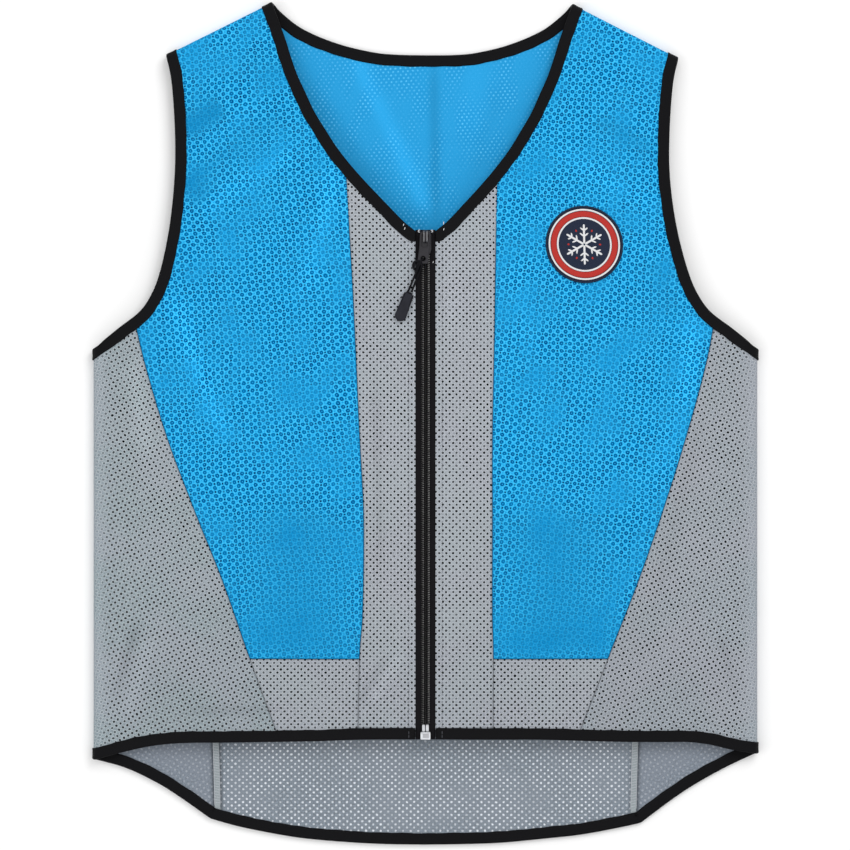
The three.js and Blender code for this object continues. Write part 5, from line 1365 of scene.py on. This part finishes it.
def bevelled(outline, holes, thickness, bevel):
    """A flat plate with rounded edges from an outline and holes, in its own frame, in millimetres."""
    data = bpy.data.curves.new("outline", "CURVE")
    data.dimensions, data.fill_mode = "2D", "BOTH"
    data.extrude, data.bevel_depth, data.bevel_resolution = thickness / 2 - bevel, bevel, 3
    for i, loop in enumerate([outline] + holes):
        loop = offset_loop(np.asarray(loop, float), bevel if i else -bevel)
        polyline(data, [(x, y, 0) for x, y in loop]).use_cyclic_u = True
    holder = placed("outline", data)
    bpy.context.view_layer.update()
    mesh = bpy.data.meshes.new_from_object(holder.evaluated_get(bpy.context.evaluated_depsgraph_get()))
    bpy.data.objects.remove(holder)
    points = np.array([v.co for v in mesh.vertices]).reshape(-1, 3)
    faces = [tuple(p.vertices) for p in mesh.polygons]
    bpy.data.meshes.remove(mesh)
    return points, faces


def offset_loop(loop, amount):
    """The loop grown by an amount, or shrunk by a negative one."""
    before, after = np.roll(loop, 1, axis=0), np.roll(loop, -1, axis=0)
    area = 0.5 * np.sum(loop[:, 0] * after[:, 1] - after[:, 0] * loop[:, 1])
    run = after - before
    out = np.stack([run[:, 1], -run[:, 0]], 1) * (1 if area > 0 else -1)
    return loop + amount * out / np.linalg.norm(out, axis=1, keepdims=True)


CORNER_STEPS = 5


def rounded(points, radius):
    """A polygon with its corners rounded."""
    points = np.asarray(points, float)
    out = []
    for a, b, c in zip(np.roll(points, 1, axis=0), points, np.roll(points, -1, axis=0)):
        r = min(radius, 0.45 * np.linalg.norm(a - b), 0.45 * np.linalg.norm(c - b))
        p, q = b + (a - b) / np.linalg.norm(a - b) * r, b + (c - b) / np.linalg.norm(c - b) * r
        for t in np.linspace(0, 1, CORNER_STEPS):
            out.append((1 - t) ** 2 * p + 2 * t * (1 - t) * b + t * t * q)
    return np.array(out)


def corners(left, right, low, high):
    return [(left, low), (right, low), (right, high), (left, high)]


def circle(x, y, radius, sides=20):
    a = np.arange(sides) * 2 * math.pi / sides
    return np.stack([x + radius * np.cos(a), y + radius * np.sin(a)], 1)


def turned_by(points, angle, x, y, z):
    c, s = math.cos(angle), math.sin(angle)
    p = np.asarray(points, float)
    return np.stack([p[:, 0] * c - p[:, 1] * s + x, p[:, 0] * s + p[:, 1] * c + y, p[:, 2] + z], 1)


EYE_RUN = TAB_LENGTH - TAB_END_BAR - TAB_EYE / 2
EYE = (math.sin(TAB_LEAN) * EYE_RUN, SLIDER_MIDDLE_Y + TAB_TOP_Y - math.cos(TAB_LEAN) * EYE_RUN)
GRIP_TOP = (-13.6, TOP - 250)
GRIP_DOWN = (math.sin(GRIP_LEAN), -math.cos(GRIP_LEAN))
GRIP_Z = (front_at(GRIP_TOP[0] + GRIP_DOWN[0] * 13, GRIP_TOP[1] + GRIP_DOWN[1] * 13)[2]
          + MESH / 2 + CLEARANCE + GRIP_THICKNESS / 2)
TAB_Z = (front_at(0, SLIDER_MIDDLE_Y)[2] + (EYE[1] - SLIDER_MIDDLE_Y) * zip_slope(SLIDER_MIDDLE_Y)
         + TAB_BOTTOM + TAB_THICKNESS / 2)


def cord_points():
    high = TAB_Z + TAB_THICKNESS / 2 + CLEARANCE + CORD_DIAMETER / 2
    low = front_at(0, EYE[1])[2] + COIL_TOP + CLEARANCE + CORD_DIAMETER / 2
    dx, dy = EYE[0] - GRIP_TOP[0], EYE[1] - GRIP_TOP[1]
    span = math.hypot(dx, dy)
    route = []
    for aside, up, level, rise in CORD_ROUTE:
        off = aside * CORD_DIAMETER / span
        route.append((GRIP_TOP[0] + dx * up + dy * off, GRIP_TOP[1] + dy * up - dx * off,
                      lerp(GRIP_Z, lerp(low, high, level), rise)))
    points = catmull(route, 400)
    along = run_along(points)
    even = np.linspace(0, along[-1], 130)
    points = np.stack([np.interp(even, along, points[:, k]) for k in range(3)], 1)
    for _ in range(12):  # rounds the turn in the tab's eye
        points[1:-1] = (points[:-2] + 2 * points[1:-1] + points[2:]) / 4
    return points


def build_cord():
    points = cord_points()
    data = bpy.data.curves.new("zip_pull_cord_braid", "CURVE")
    data.dimensions, data.bevel_depth, data.bevel_resolution = "3D", CORD_DIAMETER / 2 * MM, 4
    data.use_fill_caps = True
    polyline(data, points * MM)
    data.materials.append(LOOK["cord"])
    cord = placed("zip_pull_cord_braid", data)
    settle(cord, "black_cord", "zip_pull_cord")

    top, end = GRIP_TOP_WIDTH / 2, GRIP_END_WIDTH / 2
    arc = [(-end * math.cos(a), end - GRIP_LENGTH - end * math.sin(a)) for a in np.linspace(0, math.pi, 18)]
    outline = np.vstack([rounded([(top, 0), (-top, 0), (-top - 0.2, -3), (top + 0.2, -3)], 1.2)[:10], arc])
    parts = [bevelled(outline, [], GRIP_THICKNESS, 1.1)]
    for y in (-4.6, -6.4):
        parts.append(tube([(x, y, GRIP_THICKNESS / 2 - 0.12) for x in np.linspace(-3.1, 3.1, 7)], 0.28, 6))
    parts = [(turned_by(p, GRIP_LEAN, GRIP_TOP[0], GRIP_TOP[1], GRIP_Z), f) for p, f in parts]
    grip = joined("zip_pull_grip_moulded", parts, ["rubber"])
    settle(grip, "black_rubber", "zip_pull_grip")
    low = front_at(0, EYE[1])[2] + COIL_TOP + 1.0
    loops = [tube(catmull([(x, y, low + rise) for x, y, rise in table], 40), 1.15, 8) for table in KNOT_LOOPS]
    knot = joined("zip_pull_cord_knot", loops, ["cord"])
    settle(knot, "black_cord")


def build_slider():
    h = SLIDER_LENGTH / 2
    foot, neck = SLIDER_HALF - SLIDER_FOOT[0], SLIDER_HALF - SLIDER_CORNER[0]
    flare, shoulder = SLIDER_FOOT[1] - h, h - SLIDER_CORNER[1]
    waist = SLIDER_HALF - 0.35
    right = [(foot, -h), (SLIDER_HALF, flare), (waist, 0), (SLIDER_HALF, shoulder), (neck, h)]
    outline = rounded([(-foot, -h)] + right + [(-x, y) for x, y in right[:0:-1]], 1.4)
    p, f = bevelled(outline, [], SLIDER_PLATE, 0.55)
    parts = [(p + [0, 0, SLIDER_TOP - SLIDER_PLATE / 2], f)]
    wall_z = (SLIDER_TOP - SLIDER_PLATE + 0.3) / 2
    for s in (-1, 1):
        wall = rounded(corners(s * (SLIDER_HALF - 1.0), s * (SLIDER_HALF - 0.05), 4.2 - h, h - 3.9), 0.4)
        p, f = bevelled(wall, [], 2 * wall_z, 0.25)
        parts.append((p + [0, 0, wall_z], f))
    y0, y1 = BRIDGE_TOP_Y, BRIDGE_TOP_Y - BRIDGE_LENGTH
    low, high = SLIDER_TOP - 0.6, SLIDER_TOP + BRIDGE_HEIGHT - 0.6
    arch = catmull([(0, y0 - 0.6, low), (0, y0 - 0.75, low + 2.0), (0, y0 - 1.9, high - 0.35),
                    (0, (y0 + y1) / 2 + 1, high), (0, y1 + 2.2, high - 0.5), (0, y1 + 0.85, low + 1.9),
                    (0, y1 + 0.6, low)], 26)
    p, f = tube(arch, 0.6, 10)
    p[:, 0] *= BRIDGE_WIDTH / 1.2 * 0.9
    parts.append((p, f))
    # The two thin pale wires along the bridge's sides are painted highlights
    wear_and_glint = len(parts)
    for s in (-1, 1):
        parts.append(tube(arch[3:-5] + [s * (BRIDGE_WIDTH / 2 - 0.3), 0, 0.22], 0.3, 6))
    parts = [(on_zip(p, SLIDER_MIDDLE_Y, COIL_BOTTOM), f) for p, f in parts]
    slots = [int(i >= wear_and_glint) for i in range(len(parts))]
    slider = joined("zip_slider_body", parts, ["black_metal", "glint_and_shade_metal"], slots)
    settle(slider, "black_metal", "zip_slider")

    half, waist = TAB_WIDTH / 2, TAB_WIDTH / 2 - TAB_WAIST
    outline = rounded([(-half, 0), (half, 0), (waist, -TAB_LENGTH / 2), (half, -TAB_LENGTH),
                       (-half, -TAB_LENGTH), (-waist, -TAB_LENGTH / 2)], TAB_ROUND)
    side, end = half - TAB_RAIL, -(BRIDGE_LENGTH + TAB_RAIL)
    slot_loop = rounded([(-side, -TAB_RAIL), (-side, end), (side, end), (side, -TAB_RAIL)], 1.0)
    eye = circle(0, -EYE_RUN, TAB_EYE / 2)[::-1]
    parts = [bevelled(outline, [slot_loop, eye], TAB_THICKNESS, 0.35)]
    ring = 1.02 * (TAB_EYE / 2 + 0.35)
    rim = [(ring * math.cos(a), -EYE_RUN + ring * math.sin(a), TAB_THICKNESS / 2 - 0.1)
           for a in np.linspace(0, 2 * math.pi, 25)]
    parts.append(tube(rim, 0.3, 6))
    parts = [(turned_by(p, TAB_LEAN, 0, TAB_TOP_Y, TAB_THICKNESS / 2), f) for p, f in parts]
    parts = [(on_zip(p, SLIDER_MIDDLE_Y, TAB_BOTTOM), f) for p, f in parts]
    tab = joined("zip_pull_tab_plate", parts, ["black_metal"])
    settle(tab, "black_metal", "zip_pull_tab")


# The bent wire of a top stop: aside from its middle, up and height
STOP_WIRE = [(-0.7, 0.85, 0.4), (-0.45, 0.85, 1.25), (0.45, 0.75, 1.25), (0.65, 0.2, 0.7), (0.5, -0.5, 1.2),
             (-0.4, -0.8, 1.2), (-0.7, -0.8, 0.4)]


def build_fittings():
    for sign in (-1, 1):
        half = name_of(sign)
        x = sign * (STOP_INNER_X + STOP[0] / 2)
        wire = [(x + sign * aside, y, z) for aside, y, z in STOP_WIRE]
        p, f = tube(catmull(wire, 24), 0.42, 8)
        p = on_zip(p, ZIP_TOP_Y - STOP[1] / 2, COIL_BOTTOM)
        stop = joined(f"zip_stop_{half}_wire", [(p, f)], ["silver"])
        settle(stop, "silver_metal", f"zip_stop_{half}")
        px = sign * (PIN[0] / 2 + CLEARANCE)
        p, f = bevelled(rounded(corners(px - 1.3, px + 1.3, -3, 3), 0.9), [], PIN[2], 0.4)
        y = HEM_CENTER_Y + BOX[1] + CLEARANCE + PIN[1] / 2
        pin = joined(f"zip_pin_{half}_plated", [(on_zip(p, y, COIL_BOTTOM + PIN[2] / 2), f)], ["silver"])
        settle(pin, "silver_metal", f"zip_pin_{half}")
    w, length, height = BOX
    outline = rounded(corners(-w / 2, w / 2, -length / 2, length / 2), 1.0)
    high = length / 4
    window = rounded([(-w / 4, -high), (-w / 4, high), (w / 3, high), (w / 3, -high)], 0.5)
    plates = [bevelled(outline, [window], height, 0.4)]
    # The sunk plate takes darker plating: painted shade in the recess
    p, f = bevelled(outline * 0.9, [], height - 0.9, 0.3)
    plates.append((p - [0, 0, 0.45], f))
    parts = [(on_zip(p, HEM_CENTER_Y + length / 2, COIL_BOTTOM + height / 2), f) for p, f in plates]
    box = joined("zip_box_plated", parts, ["silver", "glint_and_shade_metal"], [0, 1])
    settle(box, "silver_metal", "zip_box")


def build_topstitch():
    lines = []
    for sign in (-1, 1):
        y = np.arange(HEM_CENTER_Y + 1.0, TOP - FRONT_NECK_DROP + 1, 3.0)
        x = np.full(len(y), sign * STITCH_X)
        over = np.where(y < HEM_CENTER_Y + BINDING_WIDTH, 2.3, MESH / 2 - 0.05)
        lines.append((over_cloth(front, x, y, over), normals(front, x, y)))
    stitches("zip_topstitches", lines, "grey_thread", "mesh_cloth", 2.2, 1.1, 0.26, 0.12)


def build_tacks():
    """Small pale threads that hold the binding's ends beside the zip."""
    parts = []
    for x, y, length, over in ((-18.6, 170.6, 1.7, 2.2), (-17.6, 167.4, 1.9, 2.2), (15.6, 172.2, 2.2, 2.2),
                               (15.7, 166.8, 1.6, 2.2), (6.6, 138.6, 1.3, 0.35)):
        ys = y + np.linspace(-length / 2, length / 2, 5)
        xs = x + np.linspace(-0.25, 0.25, 5)
        lift = over + np.array([-0.3, 0.05, 0.1, 0.05, -0.3])
        parts.append(tube(over_cloth(front, xs, ys, lift), 0.3, 6))
    settle(joined("binding_tacks", parts, ["white_thread"]), "black_tape")


def build_back_seams():
    for sign in (-1, 1):
        half, c = name_of(sign), CURVES[sign]
        seam = c["back_seam"]
        edges = {
            "inner": lambda y: seam(y) - ALLOWANCE_WIDTH, "outer": seam,
            "low": lambda x: c["back_hem"](x) + BINDING_WIDTH + 2 * CLEARANCE,
            "high": fixed(TOP - YOKE_SEAM_DROP - CLEARANCE),
        }
        u, v = between(edges, np.linspace(0, 1, 8), spread(350, 2.4, False, False))
        hump = 0.25 * np.sin(math.pi * (u - u[:1]) / ALLOWANCE_WIDTH) + 0.07 * np.sin(v * 2.6)
        lift = MESH / 2 + CLEARANCE + ALLOWANCE_THICKNESS / 2
        # Painted light and shade on the strip's inner face: lighter by its free edge, darker towards the seam
        tone = 1.12 - 0.5 * smooth((u - u[:1] - 2.6) / 1.6)
        strip = slab(f"back_seam_{half}_cloth", back, sign * u, v, ALLOWANCE_THICKNESS, -1, 0.0, hump,
                     ("allowance", "allowance"), -lift, inner_painted_shading=tone)
        settle(strip, "mesh_cloth", f"back_seam_{half}")
        parts = []
        for y in np.arange(v.min() + 6, v.max() - 4, 2.3):
            xs = np.linspace(float(seam(y)) - ALLOWANCE_WIDTH - 0.2, float(seam(y)) + 0.3, 6)
            ys = y + np.linspace(-0.5, 0.5, 6)
            level = np.array([0.2, 1.35, 1.6, 1.6, 1.4, 0.3]) + MESH / 2 + 0.25
            parts.append(tube(over_cloth(back, sign * xs, ys, level), 0.2, 5))
        edge_y = np.arange(v.min() + 4, v.max() - 3, 2.0)
        for off in (-0.1, -ALLOWANCE_WIDTH + 0.2):
            xs = sign * (seam(edge_y) + off)
            parts.append(tube(over_cloth(back, xs, edge_y, MESH / 2 + 1.25), 0.28, 5))
        threads = joined(f"back_seam_{half}_overlock", parts, ["pale_thread"])
        settle(threads, "mesh_cloth")


# Badge: a round patch with a plain snow crystal on it
def disc_part(radius_in, radius_out, height, base, sides=96, rings=4):
    """A ring or disc that follows the cloth, as a closed part. Heights are over the cloth's middle."""
    radii = np.linspace(radius_in, radius_out, rings + 1)
    angle = np.arange(sides) * 2 * math.pi / sides
    layers = []
    for level in (height, base):
        for i, r in enumerate(radii):
            x, y = BADGE_X + r * np.cos(angle), BADGE_Y + r * np.sin(angle)
            edge = 0.12 if level == height and i in (0, rings) else 0
            layers.append(over_cloth(front, x, y, level - edge))
    verts = np.concatenate(layers)
    n, faces = rings + 1, []
    for k in range(sides):
        m = (k + 1) % sides
        for i in range(rings):
            a, b = i * sides, (i + 1) * sides
            faces.append((a + k, b + k, b + m, a + m))
            a, b = (n + i) * sides, (n + i + 1) * sides
            faces.append((a + m, b + m, b + k, a + k))
        for i in (0, rings):
            a, b = i * sides, (n + i) * sides
            faces.append((a + k, a + m, b + m, b + k) if i == 0 else (a + m, a + k, b + k, b + m))
    return verts, faces


def satin_bar(ax, ay, bx, by, width, height):
    """A raised bar of close stitches between two points of the badge, in badge millimetres."""
    dx, dy = bx - ax, by - ay
    length = math.hypot(dx, dy)
    ux, uy = dx / length, dy / length
    steps = max(3, int(length / 0.8))
    rows = []
    for s in np.linspace(0, length, steps):
        taper = min(1, 0.45 + s / 1.2, 0.45 + (length - s) / 1.2)
        for w, h in ((-1, 0.0), (-0.8, 0.75), (0, 1.0), (0.8, 0.75), (1, 0.0)):
            x = BADGE_X + ax + ux * s - uy * w * width / 2 * taper
            y = BADGE_Y + ay + uy * s + ux * w * width / 2 * taper
            rows.append((x, y, h * height))
    rows = np.array(rows)
    top = over_cloth(front, rows[:, 0], rows[:, 1], BADGE_FACE + rows[:, 2] - 0.15)
    low = over_cloth(front, rows[:, 0], rows[:, 1], BADGE_FACE - 0.3)
    count = len(rows)
    faces = []
    for i in range(steps - 1):
        for k in range(4):
            a = i * 5 + k
            faces.append((a, a + 1, a + 6, a + 5))
            faces.append((count + a + 5, count + a + 6, count + a + 1, count + a))
        faces.append((i * 5, i * 5 + 5, count + i * 5 + 5, count + i * 5))
        faces.append((i * 5 + 9, i * 5 + 4, count + i * 5 + 4, count + i * 5 + 9))
    for s, turn in ((0, 1), ((steps - 1) * 5, -1)):
        for k in range(4):
            faces.append((s + k, count + s + k, count + s + k + 1, s + k + 1)[::turn])
    return np.concatenate([top, low]), faces


BADGE_FACE = PADDED / 2 + CLEARANCE + 0.75


def satin(name, base, turn, variation=0.35):
    """Embroidery: close parallel threads, with painted shade in the grooves between them."""
    s = Shade(name, roughness=0.55, specular=0.2)
    x, _ = s.turned(turn)
    thread = s.op("SINE", s.mul(x, 2 * math.pi / 0.55))
    fine = s.noise(0.9, 2.0, 0.6, 3.0)
    height = s.add(s.mul(thread, 0.5), s.mul(fine, 0.5))
    s.color(s.mix(s.step(height, -0.3, 0.6), lit(base, 1 - variation), base))
    s.bump(height, 0.12, 0.8)
    return s.material


def build_badge():
    LOOK["badge_navy"] = satin("badge_navy_thread", srgb(26, 38, 62), 0)
    LOOK["badge_red"] = satin("badge_red_thread", srgb(196, 52, 44), 90)
    LOOK["badge_white"] = satin("badge_white_thread", srgb(232, 233, 234), 30, 0.15)
    r = BADGE_DIAMETER / 2
    under = PADDED / 2 + 0.1
    rounds = np.linspace(0, 2 * math.pi, 145)
    x, y = BADGE_X + (r - 0.9) * np.cos(rounds), BADGE_Y + (r - 0.9) * np.sin(rounds)
    rim = over_cloth(front, x, y, BADGE_FACE - 0.15)
    patch = joined("chest_badge_patch", [disc_part(0.4, r - 0.8, BADGE_FACE, under, 96, 10)], ["badge_navy"])
    settle(patch, "badge_cloth", "chest_badge")

    parts, slots = [tube(rim, 0.9, 8, 0.8)], [0]

    def put(part, slot):
        parts.append(part)
        slots.append(slot)

    put(disc_part(r - 9.6, r - 4.6, BADGE_FACE + 0.22, BADGE_FACE - 0.3), 1)
    for out in (r - 3.4, r - 10.6):
        put(disc_part(out - 0.75, out + 0.75, BADGE_FACE + 0.3, BADGE_FACE - 0.3), 2)
    for k in range(6):
        a = math.pi / 2 + k * math.pi / 3
        ca, sa = math.cos(a), math.sin(a)
        put(satin_bar(0.8 * ca, 0.8 * sa, 17.5 * ca, 17.5 * sa, 1.9, 0.45), 2)
        for along, reach in ((7.0, 4.6), (12.0, 4.0)):
            for side in (-1, 1):
                b = a + side * math.radians(52)
                tip = (along * ca + reach * math.cos(b), along * sa + reach * math.sin(b))
                put(satin_bar(along * ca, along * sa, *tip, 1.5, 0.4), 2)
        mid = a + math.pi / 6
        cm, sm = math.cos(mid), math.sin(mid)
        put(satin_bar(12.6 * cm, 12.6 * sm, 14.6 * cm, 14.6 * sm, 2.0, 0.35), 1)
    threads = joined("chest_badge_embroidery", parts, ["badge_navy", "badge_red", "badge_white"], slots)
    settle(threads, "badge_cloth")


build_cord()
for sign in (-1, 1):
    build_front_half(sign)
    build_side(sign)
build_back()
build_bindings()
build_zip()
build_slider()
build_fittings()
build_topstitch()
build_tacks()
build_back_seams()
build_badge()


# Floor, lights and the sky
FLOOR_Z, FLOOR_HALF = -0.0004, 8.0


def build_stage():
    mesh = bpy.data.meshes.new("floor")
    square = corners(-FLOOR_HALF, FLOOR_HALF, -FLOOR_HALF, FLOOR_HALF)
    mesh.from_pydata([(x, y, FLOOR_Z) for x, y in square], [], [(0, 1, 2, 3)])
    look = Shade("pale_floor", roughness=0.9, specular=0.1).color((0.975, 0.975, 0.975, 1))
    mesh.materials.append(look.material)
    placed("floor", mesh)

    world = bpy.data.worlds.new("studio")
    bpy.context.scene.world = world
    world.use_nodes = True
    sky = world.node_tree.nodes["Background"]
    sky.inputs[0].default_value = (1, 1, 1, 1)
    sky.inputs[1].default_value = 0.72

    for name, place, size, power in (
        ("key", (1.1, 1.5, 2.4), 1.6, 26.0), ("fill", (-1.8, -0.6, 2.2), 2.2, 12.0),
        ("top", (0, 0.2, 3.6), 3.0, 14.0),
    ):
        data = bpy.data.lights.new(name, "AREA")
        data.shape, data.size, data.energy = "DISK", size, power
        light = placed(name, data)
        light.location = place
        light.rotation_euler = (-Vector(place)).to_track_quat("-Z", "Y").to_euler()


build_stage()
bpy.context.scene.view_settings.view_transform = "Standard"

bpy.context.view_layer.update()
